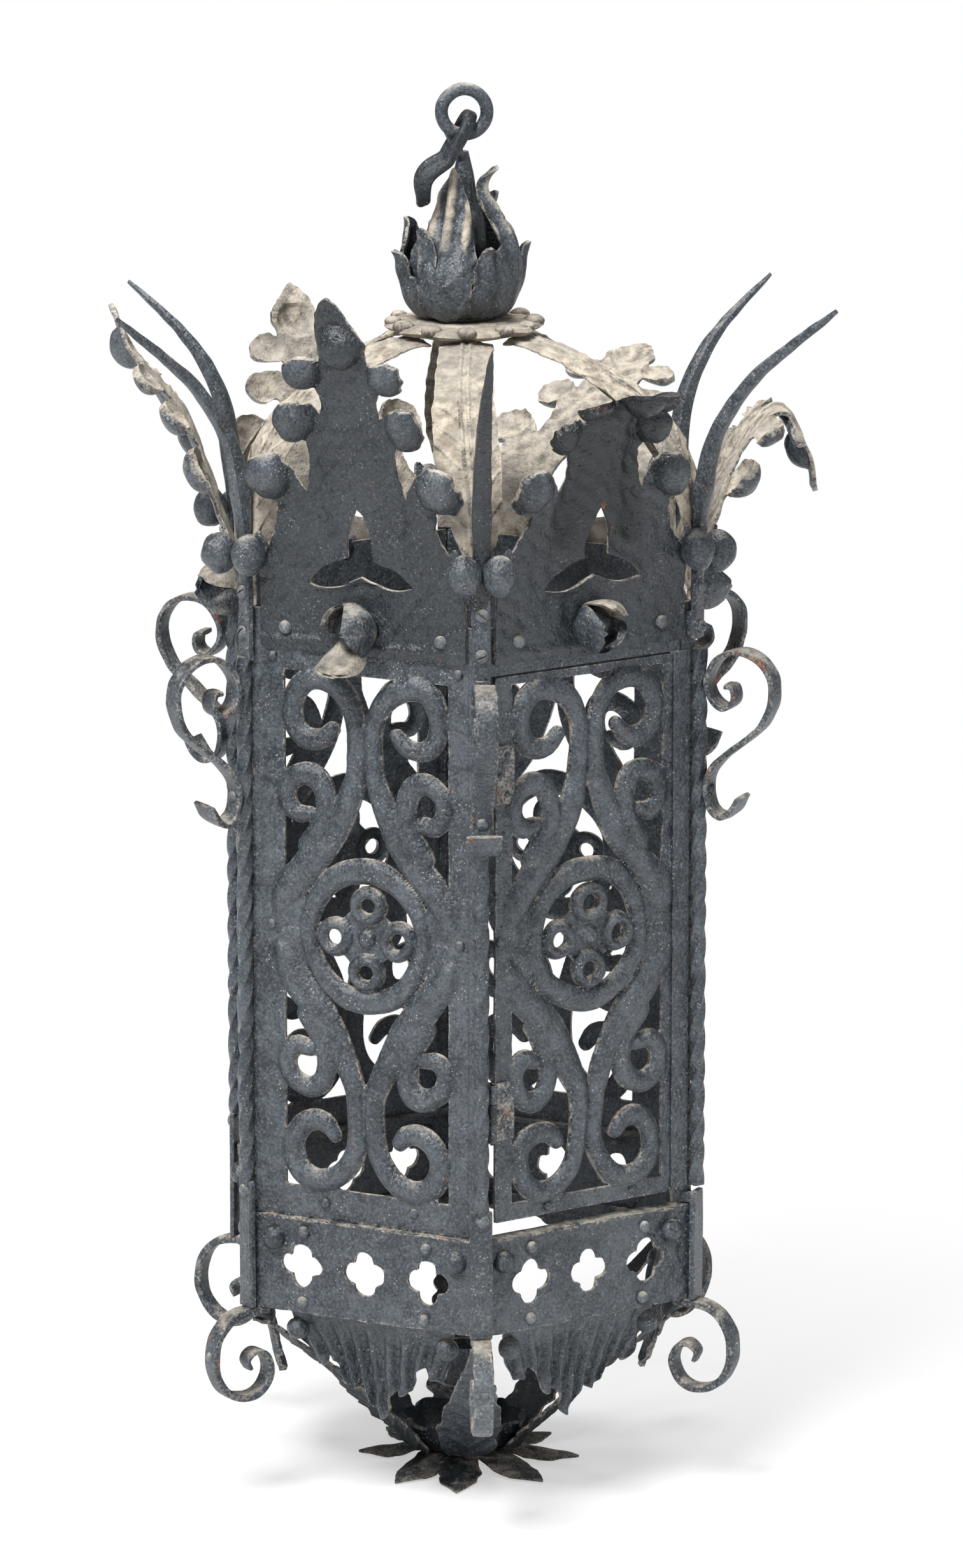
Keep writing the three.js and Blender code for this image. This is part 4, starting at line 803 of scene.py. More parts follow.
MAIN_RIBBON = smooth([
    (56, -16, 9.5), (44, -32, 9.8), (32, -46, 9.6), (23, -58, 9.2), (15, -72, 8.2), (9, -86, 7.2),
    (5.9, -98, 6.3),
    (5.7, -122, 6.2), (10, -137, 6.4), (19, -147, 6.6), (31, -150.5, 6.7), (41.5, -146, 6.7),
    (47.3, -134, 6.6),
    (45, -121.5, 6.4), (36.5, -114.5, 6.3), (27, -115, 6.0), (21, -121.5, 4.6)], 76)
SIDE_RIBBON = smooth([
    (37, -50, 7.5), (28, -66, 6.8), (25.8, -80, 6.5), (30, -91, 6.5), (40, -94.5, 6.4), (49.5, -88, 6.3),
    (51, -77, 6.0), (45, -69.5, 5.8), (36, -70.5, 4.6)], 40)
FLANK = [(33, 0), (62, 0), (62, 34), (53, 29), (44, 25), (37, 20)]
RING_PLACES = [(1.5, 18.8), (1.0, -20.3), (-19.5, -1.0), (21.0, -1.0)]


def openwork(u, v, seed):
    """Depth inside the pressed pattern and the height of its relief."""
    rise = bpy.context.scene.lantern_sizes.ribbon_rise
    q = np.stack([u, v], -1)
    x = u + 0.8 * wobble(q, 60, seed)
    y = v - PATTERN_CENTRE + 0.8 * wobble(q, 60, seed + 9)
    a, b = np.abs(x), np.abs(y)
    depth = np.full(u.shape, -1e9)
    height = np.zeros(u.shape)
    for path, lift in ((MAIN_RIBBON, rise), (SIDE_RIBBON, rise * 0.92)):
        d, share = ribbon_depth(a, -b, path[:, :2], path[:, 2])
        depth = np.maximum(depth, d)
        height = np.maximum(height, domed(share, lift))
    outer, inner = oval_depth(x, y, 42.5, 46.8), oval_depth(x, y, 31.2, 31.8)
    d = np.minimum(outer, -inner)
    depth = np.maximum(depth, d)
    rim = 0.6 * np.exp(-((outer - 2.2) / 1.3) ** 2)
    height = np.maximum(height, np.where(d > 0, domed(d / 5.5, rise * 0.9) + rim, 0))
    d = polygon_depth(a, b, FLANK)
    depth = np.maximum(depth, d)
    height = np.maximum(height, 0.9 * ramp(d, 0, 6))
    depth = np.maximum(depth, (24.5 - a - b) / 1.42)
    for rx, ry in RING_PLACES:
        r = np.hypot(x - rx, y - ry)
        depth = np.maximum(depth, 11.8 - r)
        height = np.maximum(height,
                            np.where(r < 11.8, domed(np.minimum(11.8 - r, r - 4.2) / 3.8, rise * 1.15), 0))
    for rx, ry in RING_PLACES:
        depth = np.minimum(depth, np.hypot(x - rx, y - ry) - 4.7)
    r = np.hypot(x - 1, y + 0.5)
    height = np.maximum(height, np.where(r < 5.4, 4.2 * np.sqrt(np.clip(1 - (r / 5.4) ** 2, 0, 1)), 0))
    return depth, height


def panel_body(left, right, bottom, top, seed, strips):
    body = Body()

    def border(u, v):
        rect = np.minimum(np.minimum(u - left, right - u), np.minimum(v - bottom, top - v))
        opening = np.minimum(np.minimum(u + 52.5, 53.5 - u), np.minimum(v - 196, 505 - v))
        return rect, np.minimum(rect, -opening), opening

    def field(u, v):
        rect, rim, _ = border(u, v)
        depth, _ = openwork(u, v, seed)
        return np.minimum(rect, np.maximum(rim, depth))

    def lift(u, v):
        rect, rim, opening = border(u, v)
        _, height = openwork(u, v, seed)
        fade = ramp(opening, -9, -2)
        q = np.stack([u, v], -1)
        h = np.maximum(height * fade, 0) + 0.22 * wobble(q, 13, seed + 3) + 0.35 * wobble(q, 50, seed + 4)
        if strips:
            h = h + 1.1 * ramp(np.abs(u), 66.2, 67.0)
        return h

    def bend(u, v, h):
        return np.stack([(SHEET_INNER + SHEET_OUTER) / 2 + h, u, v], -1)

    body.pressed(field, lift, bend, (left - 1, right + 1, bottom - 1, top + 1), 1.3,
                 SHEET_OUTER - SHEET_INNER)
    return body


def turned_to(body, azimuth):
    body.points = [place(p, azimuth) for p in body.points]
    return body


class LANTERN_OT_panels(bpy.types.Operator):
    """Five fixed openwork panels with their border rivets"""
    bl_idname = "lantern.panels"
    bl_label = "Fixed panels"

    def execute(self, context):
        finish = finish_of("slate_iron")
        for k in range(1, SIDES):
            body = panel_body(-HALF_SIDE, HALF_SIDE, BAND_TOP + 0.3, PANEL_TOP, 11 * k, True)
            mesh = turned_to(body, FACES[k]).mesh("openwork_panel_%d" % k, 0)
            put(mesh.name, mesh, finish, "lantern", ["panel_%d" % k])
        rows = []
        for azimuth in FACES[1:]:
            for side, up in ((-27, 187), (31, 188), (-61, 352), (61, 352), (-60, 512), (60, 512)):
                rows.append((azimuth, SHEET_OUTER + 0.3, side, up, context.scene.lantern_sizes.rivet * 0.95))
        heads("panel_rivets", rows, "lantern", finish)
        return {"FINISHED"}


class LANTERN_OT_door(bpy.types.Operator):
    """Hinged door: openwork sheet, closing strip, hinge leaves and the outer knuckles"""
    bl_idname = "lantern.door"
    bl_label = "Door"

    def execute(self, context):
        finish = finish_of("slate_iron")
        azimuth = FACES[DOOR_FACE]
        body = turned_to(panel_body(-64, 65.6, 186, 510, 77, False), azimuth)
        body.slab((SHEET_OUTER + 0.35, 60, 188), (SHEET_OUTER + 1.9, 71.6, 511), azimuth)
        body.slab((SHEET_OUTER - 0.5, 60, 188), (SHEET_OUTER + 1.2, 65.4, 509), azimuth)
        for bottom in HINGE_BOTTOMS:
            body.slab((SHEET_OUTER - 0.2, -66.8, bottom + 0.3), (SHEET_OUTER + 1.7, -51.6, bottom + 34.7),
                      azimuth, 0.4, 0.9)
            for k in (0, 2):
                low, high = bottom + k * 35 / 3 + 0.25, bottom + (k + 1) * 35 / 3 - 0.25
                body.tube(place([(131.2, -68, z) for z in np.linspace(low, high, 6)], azimuth), 2.6, 16,
                          wear=0.5)
        put("openwork_door", body.mesh("openwork_door", 0), finish, "door", ["door_panel"])
        rows = [(azimuth, SHEET_OUTER + 1.6, side, bottom + up, 1.9) for bottom in HINGE_BOTTOMS
                for side, up in ((-57, 6), (-57, 29), (-62, 17.5))]
        rows += [(azimuth, SHEET_OUTER + 0.3, -60.5, 354, 3.3), (azimuth, SHEET_OUTER + 0.3, -27, 191, 3.0),
                 (azimuth, SHEET_OUTER + 0.3, 33, 191.5, 3.0)]
        heads("door_rivets", rows, "door", finish)
        mesh = grown("door_corner_bar", twisted_bar_tree(), bar_values(188.5, 512, CORNERS[DOOR_CORNER], 0.7),
                     finish)
        put("door_corner_bar", mesh, finish, "door", ["door_stile_bar"], sharp=35)
        return {"FINISHED"}


def bar_values(bottom, top, azimuth, start):
    foot = place((BAR_AXIS, 0, 0), azimuth) * MM
    return {"Bottom": bottom * MM, "Top": top * MM, "Turn": bpy.context.scene.lantern_sizes.bar_turn,
            "Start": start,
            "Foot": tuple(foot), "Edge Radius": 0.0052}


class LANTERN_OT_hinges(bpy.types.Operator):
    """Post leaves, middle knuckles and pins of the two hinges"""
    bl_idname = "lantern.hinges"
    bl_label = "Hinges"

    def execute(self, context):
        finish = finish_of("dark_iron")
        azimuth = FACES[DOOR_FACE]
        for name, bottom in zip(("hinge_lower", "hinge_upper"), HINGE_BOTTOMS):
            body = Body()
            low, high = bottom + 35 / 3 + 0.1, bottom + 70 / 3 - 0.1
            body.tube(place([(131.2, -68, z) for z in np.linspace(low, high, 6)], azimuth), 2.6, 16, wear=0.5)
            body.tube(place([(131.2, -68, z) for z in np.linspace(bottom - 1.1, bottom + 36.1, 8)], azimuth),
                      1.25, 12)
            a = math.radians(-60)

            def near(out, side):
                return out * math.cos(a) - side * math.sin(a), out * math.sin(a) + side * math.cos(a)

            plan = [near(126.2, 57), near(126.2, 71.4), (129.1, -68.9), (131, -68.6), (131, -67.4),
                    (129.1, -67.2),
                    near(124.7, 72.2), near(124.7, 57)]
            rings = [[(*q, z) for q in plan] for z in np.linspace(low, high, 4)]
            body.sweep(place(rings, azimuth), 0.4)
            put(name + "_leaf", body.mesh(name + "_leaf", 0.05), finish, "lantern", [name])
        return {"FINISHED"}


# Lower band

def quatrefoil_depth(u, v):
    depth = 6.8 - np.hypot(u, v)
    for dx, dy in ((7.2, 0), (-7.2, 0), (0, 7.2), (0, -7.2)):
        depth = np.maximum(depth, 6.2 - np.hypot(u - dx, v - dy))
    return depth


class LANTERN_OT_band(bpy.types.Operator):
    """Six-sided band pierced with quatrefoils, its ledge, leafed studs and rivets"""
    bl_idname = "lantern.band"
    bl_label = "Lower band"

    def execute(self, context):
        finish = finish_of("slate_iron")
        body = Body()
        for k, azimuth in enumerate(FACES):
            def field(u, v):
                q = np.stack([u, v], -1)
                rect = np.minimum(75.5 - np.abs(u), np.minimum(v - BAND_BOTTOM, BAND_TOP - v))
                uw, vw = u + 0.5 * wobble(q, 25, k + 40), v + 0.5 * wobble(q, 25, k + 50)
                for x in (-41, 0, 41):
                    rect = np.minimum(rect, -quatrefoil_depth(uw - x, vw - 148))
                return rect

            def lift(u, v):
                q = np.stack([u, v], -1)
                h = 0.3 * wobble(q, 10, k + 60) + 0.5 * wobble(q, 32, k + 61)
                h = np.clip(h, -0.9, 1.1) * ramp(75.5 - np.abs(u), 0, 8)
                lip = 0.5 * np.exp(-(np.minimum.reduce([-quatrefoil_depth(u - x, v - 148) for x in (-41, 0,
                                                                                                    41)]) / 1.8) ** 2)
                return h + 0.9 * ramp(v, 172.5, 175) + lip

            body.pressed(field, lift, lambda u, v,
                         h: np.stack([(PLATE_INNER + PLATE_OUTER) / 2 + h, u, v], -1),
                         (-76.5, 76.5, BAND_BOTTOM - 1, BAND_TOP + 1), 1.25, PLATE_OUTER - PLATE_INNER,
                         azimuth)
            shelf = [[(r, s * (r * math.tan(math.pi / 6)), z) for r, z in
                      ((122.2, 174.6), (131.4, 174.6), (132.0, 175.8), (131.4, 177.0),
                       (122.2, 177.0))] for s in
                     np.linspace(-1, 1, 40)]
            body.sweep(place(shelf, azimuth), [0.3, 0.8, 1, 1, 0.3])
        put("pierced_band", body.mesh("pierced_band", 0.15), finish, "lantern", ["lower_band"])
        rows, studs = [], []
        for azimuth in FACES:
            for side in (-59.5, 59.5):
                studs.append((azimuth, PLATE_OUTER + 0.4, side, 162.5, 6.9))
            for side, up in ((-40, 168.5), (40, 168), (-41, 125.5), (39, 125)):
                rows.append((azimuth, PLATE_OUTER + 0.3, side, up, 3.6))
        heads("band_rivets", rows, "lantern", finish_of("worn_iron"), rise=0.9)
        heads("band_studs", studs, "lantern", finish, rise=0.85)
        return {"FINISHED"}


# Crests

CREST_HALF = [(66, 0), (66, 30), (64.5, 46), (60, 60), (53, 70), (49.5, 80), (50, 88), (53, 89), (62, 89),
              (67.5, 95),
              (68.5, 103), (65, 111.5), (57, 116), (48, 116), (41, 111), (36, 103), (33, 96), (30.5, 102),
              (27.5, 112),
              (27.5, 121), (29.5, 125.5), (36, 124), (43, 125.5), (47.5, 132), (46.5, 140), (40.5, 145.5),
              (32, 146),
              (25, 143), (20.5, 138), (18.3, 138.5), (17.8, 148), (20, 152.5), (27, 151.5), (34, 153.5),
              (37.5, 160),
              (36, 167.5), (29, 172), (21, 171), (16, 168), (14.5, 172), (15.8, 180), (14, 188.5),
              (9.5, 197.5), (4.5, 204)]
CREST_OUTLINE = CREST_HALF + [(0, 208)] + [(-x, y) for x, y in reversed(CREST_HALF)]
CREST_LOBES = [(55, 103.5, 14, 9.5), (35.5, 136, 12.5, 8.5), (27, 163, 11.5, 8)]
CREST_BENDS = [
    [(0, 0), (0.6, 27), (4.6, 62), (10, 94), (16, 122), (23, 140), (38, 152), (60, 159), (83, 162)],
    [(0, 0), (2, 30), (10, 57), (22, 82), (36, 104), (50, 119), (62, 118), (71, 100), (79, 72)],
    [(0, 0), (1, 30), (8, 55), (28, 72), (48, 87), (69, 102), (91, 113), (110, 119), (130, 121)],
    [(0, 0), (2, 30), (10, 62), (20, 94), (33, 122), (48, 146), (65, 170)],
    [(0, 0), (2, 30), (11, 57), (19, 82), (30, 113), (44, 136), (57, 151), (67.5, 168.5), (74, 189)],
    [(0, 0), (0.6, 27), (4, 57), (9.5, 92), (16, 127), (23, 164), (34, 213)],
]
CREST_HANDS = [(0, 0.13, 3), (0, 0, -4), (0, 0.05, 3), (0, 0, -3), (0, 0.03, 4), (7.5, 0, -7)]


def bow(points, count=10):
    """Points of a run of quadratic bends: start, then control and end in turn."""
    out = [points[0]]
    for a, b, c in zip(points[::2], points[1::2], points[2::2]):
        for k in range(1, count + 1):
            t = k / count
            out.append(tuple((1 - t) ** 2 * p + 2 * t * (1 - t) * q + t * t * r for p, q, r in zip(a, b, c)))
    return out


BROW = bow([(-34.5, 40.5), (-21, 36.5), (-11, 40.5), (-5, 44.5), (0, 47), (6, 44.5), (12, 41.8), (22, 38.5),
            (33.5, 42.5),
            (27, 53), (10, 57.5), (1, 59), (-8, 57.2), (-26, 53.5), (-34.5, 40.5)])
DROP = bow([(-7, 56), (-9, 73), (1, 89), (11, 73), (9, 56)]) + [(1, 54)]


def crest_field(seed):
    def field(u, v):
        q = np.stack([u, v], -1)
        shake = ramp(v, 20, 70)
        x = u + 1.0 * shake * wobble(q, 45, seed)
        y = v + 1.0 * shake * wobble(q, 45, seed + 5)
        depth = polygon_depth(x, y, CREST_OUTLINE) + 0.35 * wobble(q, 9, seed + 2) * shake
        return np.minimum(np.minimum(depth, -polygon_depth(u, v, BROW)), -polygon_depth(u, v, DROP))
    return field


def crest_lift(seed, tip):
    def lift(u, v):
        q = np.stack([u, v], -1)
        a = np.abs(u)
        h = 0.35 * wobble(q, 12, seed + 20) + 0.6 * wobble(q, 40, seed + 21) * ramp(v, 10, 60)
        for x, y, r, rise in CREST_LOBES:
            far = np.clip(np.hypot(a - x, v - y) / r, 0, 1)
            h = h + rise * np.sqrt(1 - far ** 2.4)
        far = np.clip(np.hypot(u, v - 179.5) / 13, 0, 1)
        h = h + tip * np.sqrt(1 - far ** 2.2)
        h = h - 2.2 * ramp(v, 60, 80) * ramp(a, 10, 26) * (1 - ramp(a, 26, 36))
        h = h + 1.3 * np.exp(-((v - 5.5) / 2.4) ** 2)
        h = h + 1.6 * ramp(v, 60, 100) * np.exp(-(a / 17) ** 2)
        edge = np.abs(polygon_depth(u, v, BROW))
        return h + 1.1 * np.exp(-(edge / 2.6) ** 2)
    return lift


def crest_dust_and_shade(k):
    """Painted shade on the folded crest over the door, with some soot, and on crest 6, which leans outwards from the
    top light; settled dust on the crests' lobes.
    """
    def dust(u, v):
        lobes = np.max([ramp(-np.hypot(np.abs(u) - x, v - y - 5), -r, -r * 0.3) for x, y, r,
                        rise in CREST_LOBES], 0)
        if k == DOOR_FACE:
            return 0.45 * lobes - 0.55 - 1.6 * ramp(v, 55, 100) * ramp(-np.abs(u), -36, -20) - 1.2 * ramp(v,
                                                                                                          120, 140)
        return 0.45 * lobes - (0.6 if k == 5 else 0.0)
    return dust


def crest_back_dust_and_shade(k):
    """Dust inside the crests, and painted shade under the fold over the door."""
    def dust(u, v):
        return 0.68 - (2.2 * ramp(v, 112, 132) if k == DOOR_FACE else 0.0) + 0 * u
    return dust


def crest_bend(path, stretch=0.0, narrow=0.0, lean=0.0):
    fine = smooth([(PLATE_INNER + 1.1 + out, CREST_BOTTOM + up) for out, up in path], 200)
    steps = np.linspace(0, 208 + stretch, 200)
    t = np.gradient(fine, axis=0)
    t /= np.linalg.norm(t, axis=1)[:, None]

    def bend(u, v, h):
        s = v + stretch * ramp(v, 100, 165)
        out, up = np.interp(s, steps, fine[:, 0]), np.interp(s, steps, fine[:, 1])
        tr, tz = np.interp(s, steps, t[:, 0]), np.interp(s, steps, t[:, 1])
        side = u * (1 - narrow * ramp(v, 72, 105)) + lean * ramp(v, 178, 208)
        return np.stack([out + tz * h, side, up - tr * h], -1)
    return bend


def corner_ball(body, spot, side, azimuth, seed):
    """Forged ball on the crest's edge with a torn rim behind it."""
    centre = np.array([spot[0] + 6.5, side * 69.3, spot[2]])
    n, m = 14, 26
    a = 2 * math.pi * np.arange(m) / m
    b = math.pi * (np.arange(n) + 0.5) / n
    grid = np.stack([np.cos(a)[None] * np.sin(b)[:, None], np.sin(a)[None] * np.sin(b)[:, None],
                     np.repeat(np.cos(b)[:, None], m, 1)], -1) * (10.4, 9.9, 12.2)
    body.sweep(place(grid * (1 + 0.03 * wobble(grid, 12, seed))[..., None] + centre, azimuth), 0.3)
    t = np.linspace(0, 1, 16)
    path = np.stack([centre[0] - 4 + 3 * np.sin(2.4 * t), centre[2] + 2 + 11.5 * np.sin(0.3 + 1.5 * t)], 1)
    body.strap(path, 9 - 7.5 * t, np.full(16, 1.6), azimuth, crown=0.4, shift=side * 62.5, wear=0.8)


def bud(body, azimuth, spot, radius, petals, seed):
    """Torn bud: petals curled round a hollow whose inner ball is painted dark as its shade. Petals: start, end, polar,
    stretch, lean, dust.
    """
    centre = np.asarray(spot, float) + (radius * 0.72, 0, 0)
    for start, end, polar, stretch, lean, dust in petals:
        rows, columns = 18, 20
        s = np.linspace(0, 1, rows)[:, None]
        c = np.linspace(-1, 1, columns)[None, :]
        reach = 1 - 0.3 * np.abs(c) ** 3 + 0.04 * np.sin(9 * c + seed)
        theta = np.radians(150 - (150 - polar) * s * reach)
        phi = np.radians((start + end) / 2 + (end - start) / 2 * c * (1 - 0.12 * s ** 2))
        layers = []
        for inset in (0.0, -1.3):
            r = radius + inset + 0.45 * np.sin(4 * phi + 5 * s + seed)
            r = r * (1 + stretch * ramp(s, 0.45, 1.0) * 0.5)
            out = r * np.cos(theta) * (1 + stretch * ramp(s, 0.4, 1.0))
            layers.append(np.stack([out, r * np.sin(theta) * np.sin(phi) + lean[0] * s ** 2,
                                    r * np.sin(theta) * np.cos(phi) + lean[1] * s ** 2], -1))
        ring = np.concatenate([layers[0], layers[1][:, ::-1]], 1) + centre
        body.dust = dust
        body.sweep(place(ring, azimuth), 0.5)
    # Painted shade: the inner ball is made near-black as the shade in the bud's hollow.
    body.dust = -2.0
    body.ball(centre - (radius * 0.42, 0, 0), radius * 0.66, azimuth, wear=0.0)
    body.dust = 0.0


class LANTERN_OT_crests(bpy.types.Operator):
    """Six leaf crests with their domed lobes, split balls, torn buds and rivets"""
    bl_idname = "lantern.crests"
    bl_label = "Crests"

    def execute(self, context):
        finish = finish_of("slate_iron")
        rivets = []
        for k, azimuth in enumerate(FACES):
            body = Body()
            bend = crest_bend(CREST_BENDS[k], *CREST_HANDS[k])
            body.pressed(crest_field(100 + k), crest_lift(200 + k, 9.0), bend, (-70, 70, -1, 210), 1.25,
                         PLATE_OUTER - PLATE_INNER, azimuth, crest_dust_and_shade(k), crest_back_dust_and_shade(k))
            spot = bend(0.0, 54.5, 0.0)
            for side in (-1, 1):
                corner_ball(body, spot, side, azimuth, k * 2 + side + 5)
            if k == 5:
                bud(body, azimuth, (PLATE_OUTER - 1, -4, CREST_BOTTOM + 16), 16.5,
                    [(-14, 150, 6, 0.1, (3, 0), 0.3), (146, 236, 58, 0.5, (-3, -7), 0.6),
                     (-110, -10, 78, 0.0, (0, 1), 0.45)], 1)
            else:
                bud(body, azimuth, (PLATE_OUTER - 1, 0, CREST_BOTTOM + 17.5), 15.5,
                    [(-166, -30, 24, 0.1, (-1, 0), 0.2), (-36, 82, 38, 0.12, (1, 1), 0.66),
                     (76, 198, 62, 0.0, (0, 0), 0.3)], 2 + k)
            if k == DOOR_FACE:
                # Over the door: a header plate, two deeper sheets behind the gap at the door's top that stand in for
                # the shade in that gap, and a spacer under the crest.
                body.slab((SHEET_INNER, -72.6, DOOR_TOP + 1.2), (SHEET_OUTER, 65.5, PANEL_TOP), azimuth)
                body.slab((SHEET_INNER - 3.2, -69, DOOR_TOP + 1.4), (SHEET_INNER + 0.3, 60, PANEL_TOP - 2),
                          azimuth)
                body.slab((SHEET_INNER - 3.2, -69, DOOR_TOP - 4), (SHEET_INNER - 0.9, 60, DOOR_TOP + 2),
                          azimuth)
                body.slab((SHEET_OUTER - 0.5, -57, CREST_BOTTOM + 5), (PLATE_INNER + 0.5, 57, PANEL_TOP - 7),
                          azimuth)
            rivets += [(azimuth, PLATE_OUTER + 0.4, side, 530.5, 4.0) for side in (-50, 50)]
            put("leaf_crest_%d" % (k + 1), body.mesh("leaf_crest_%d" % (k + 1), 0.25, 30 + k), finish,
                "lantern",
                ["crest_%d" % (k + 1)])
        heads("crest_rivets", rivets, "lantern", finish_of("worn_iron"), rise=0.8)
        return {"FINISHED"}


# Posts

THORN = [(151.8, 554), (152.6, 584), (155, 608), (161.5, 636), (172.5, 656), (187, 674.5), (208, 693),
         (237.6, 716.6)]
REAR_THORN = [(151.8, 554), (152.8, 584), (154.5, 606), (159, 630), (168, 650), (181, 667), (199, 683),
              (222, 700)]


class LANTERN_OT_posts(bpy.types.Operator):
    """Six corner posts: riveted foot, twisted bar, screwed tang and long thorn"""
    bl_idname = "lantern.posts"
    bl_label = "Corner posts"

    def execute(self, context):
        finish = finish_of("slate_iron")
        rivets, screws = [], []
        for k, azimuth in enumerate(CORNERS):
            body = Body()
            is_door = k == DOOR_CORNER
            foot_top = 185.0 if is_door else 196.0
            body.slab((151.6, -6.5, BAND_BOTTOM), (154.9, 6.5, foot_top), azimuth, 0.9, 0.6)
            body.slab((149.98, -5.25, 518.0 if is_door else 509.0), (153.6, 5.25, 558.0), azimuth, 0.7, 0.6)
            path = smooth(REAR_THORN if azimuth in (120, 240) else THORN, 60)
            share = np.linspace(0, 1, 60)
            width = np.interp(share, [0, 0.13, 0.27, 0.6, 0.92, 1], [9, 9.5, 11, 8, 3.4, 0.8])
            depth = np.interp(share, [0, 0.13, 0.27, 0.6, 0.92, 1], [3.7, 5, 9, 6.5, 3.0, 0.8])
            # Painted shade on the front thorn, seen edge-on; a little dust on the others.
            body.dust = -0.65 if azimuth == 0 else 0.1
            body.strap(path, width, depth, azimuth, crown=2.2, wear=0.4)
            body.dust = 0.0
            if is_door:
                face = FACES[DOOR_FACE]
                body.slab((SHEET_INNER, 66.4, BAND_TOP + 0.4), (SHEET_OUTER, 72.6, PANEL_TOP - 0.2), face)
                body.slab((145.0, -5.4, BAND_TOP + 1.3), (152.4, -0.5, 184.0), azimuth)
                body.slab((145.0, -4.9, 520.2), (150.9, -0.5, 533.8), azimuth)
            else:
                rivets.append((azimuth, 154.8, 0.5, 190.5, 4.3))
            screws += [(azimuth, 153.4, 0, 525, 4.1), (azimuth, 153.4, 0.3, 549, 4.1)]
            put("post_fittings_%d" % (k + 1), body.mesh("post_fittings_%d" % (k + 1), 0.2, 50 + k), finish,
                "lantern",
                ["corner_post_%d" % (k + 1)])
            if not is_door:
                name = "twisted_bar_%d" % (k + 1)
                mesh = grown(name, twisted_bar_tree(), bar_values(193, 511, azimuth, 0.6 + k), finish)
                put(name, mesh, finish, "lantern", sharp=35)
        heads("post_rivets", rivets, "lantern", finish_of("worn_iron"), rise=0.8)
        heads("post_screws", screws, "lantern", finish_of("worn_iron"), slotted=True, rise=0.85)
        return {"FINISHED"}


# Dome

RIB_PATH = [(148.3, 541), (148.3, 576), (147, 597), (142, 619), (130, 641), (110, 659), (88, 670.5),
            (66, 679.5),
            (45, 685.5), (33, 685.9)]
REAR_RIB_PATH = [(148.3, 541), (148.3, 576), (147, 589), (142, 603), (130, 621), (110, 640), (88, 656.5),
                 (66, 672),
                 (45, 683.5), (33, 685.9)]
FRONT_RIB_SWAY = -7.0
REAR_RIB_SHARE = 0.78


class LANTERN_OT_dome(bpy.types.Operator):
    """Veined dome ribs and the scalloped hub plate with its ring of bosses"""
    bl_idname = "lantern.dome"
    bl_label = "Dome"

    def execute(self, context):
        finish = finish_of("dusty_iron")
        for k, azimuth in enumerate(CORNERS):
            rear = 90 < azimuth < 270
            straight = bender(REAR_RIB_PATH if rear else RIB_PATH)
            length = straight.length

            def bend(u, v, h, straight=straight, k=k, length=length):
                sway = FRONT_RIB_SWAY * np.sin(np.pi * np.clip((v / length - 0.14) / 0.86, 0,
                                                               1)) if k == 0 else 0.0
                return straight(u, v, h) + np.stack([0 * u, 0 * u + sway, 0 * u], -1)

            def half(v, length=length, rear=rear):
                wide = np.interp(v / length, [0, 0.14, 0.2, 0.3, 0.42, 0.6, 0.8, 1],
                                 [5.2, 5.2, 9, 16, 19, 18.6, 16.5, 16])
                return np.where(wide > 6, wide * REAR_RIB_SHARE, wide) if rear else wide

            def field(u, v, k=k, half=half, length=length):
                q = np.stack([u, v], -1)
                nick = 0.45 * wobble(q, 30, 300 + k) + 0.25 * np.cos(2 * math.pi * v / 17 + k)
                wide = half(v)
                return np.minimum(wide + nick * ramp(wide, 6, 14) - np.abs(u), np.minimum(v, length - v))

            def lift(u, v, k=k, half=half):
                q = np.stack([u, v], -1)
                big = ramp(half(v), 6, 15)
                a = np.abs(u)
                middle = 1.5 * np.exp(-((a - 2.4) / 1.3) ** 2)
                side = 0.75 * np.clip(np.cos(2 * math.pi * (v - 1.25 * a) / 17), 0, 1) ** 4 * ramp(a, 3, 6)
                return big * (middle + side - 0.007 * u * u) + 0.25 * wobble(q, 20, 310 + k) - 1.0 * big

            def dust(u, v, k=k):
                a = np.abs(u)
                vein = np.clip(np.cos(2 * math.pi * (v - 1.25 * a) / 17), 0, 1) ** 6 * ramp(a, 3, 6)
                return 0.88 - 0.6 * np.maximum(vein, np.exp(-((a - 2.4) / 1.1) ** 2))

            body = Body()
            body.pressed(field, lift, bend, (-22, 22, -1, length + 1), 1.2, 2.2, azimuth, dust, 0.5)
            put("veined_rib_%d" % (k + 1), body.mesh("veined_rib_%d" % (k + 1), 0.12, 60 + k), finish,
                "lantern",
                ["dome_rib_%d" % (k + 1)])
        body = Body()

        def scallop(a, r, z):
            wave = np.cos(10 * a) * np.clip((r - 30) / 14, 0, 1)
            return r + 2.2 * wave + 0.6 * np.sin(3 * a + 1), z + 0.5 * np.sin(5 * a) * (r > 29.5) * (z > 690)

        body.dust = 0.95
        body.lathe([(6.4, HUB_BOTTOM), (38, HUB_BOTTOM), (42.5, 688.6), (44.8, 690.6), (43.6, 692.8),
                    (38, 694.0), (29.5, 694.1),
                    (28.6, 695), (6.4, 695)], 140, [0, 0, 0.6, 0.9, 0.6, 0.1, 0, 0, 0], scallop)
        put("scalloped_hub", body.mesh("scalloped_hub", 0.2, 70), finish, "lantern", ["hub_plate"])
        mesh = grown("hub_bosses", rim_bosses_tree(), {"Count": context.scene.lantern_sizes.hub_bosses},
                     finish)
        put("hub_bosses", mesh, finish, "lantern", sharp=45)
        return {"FINISHED"}


# Stem, flower, link and ring

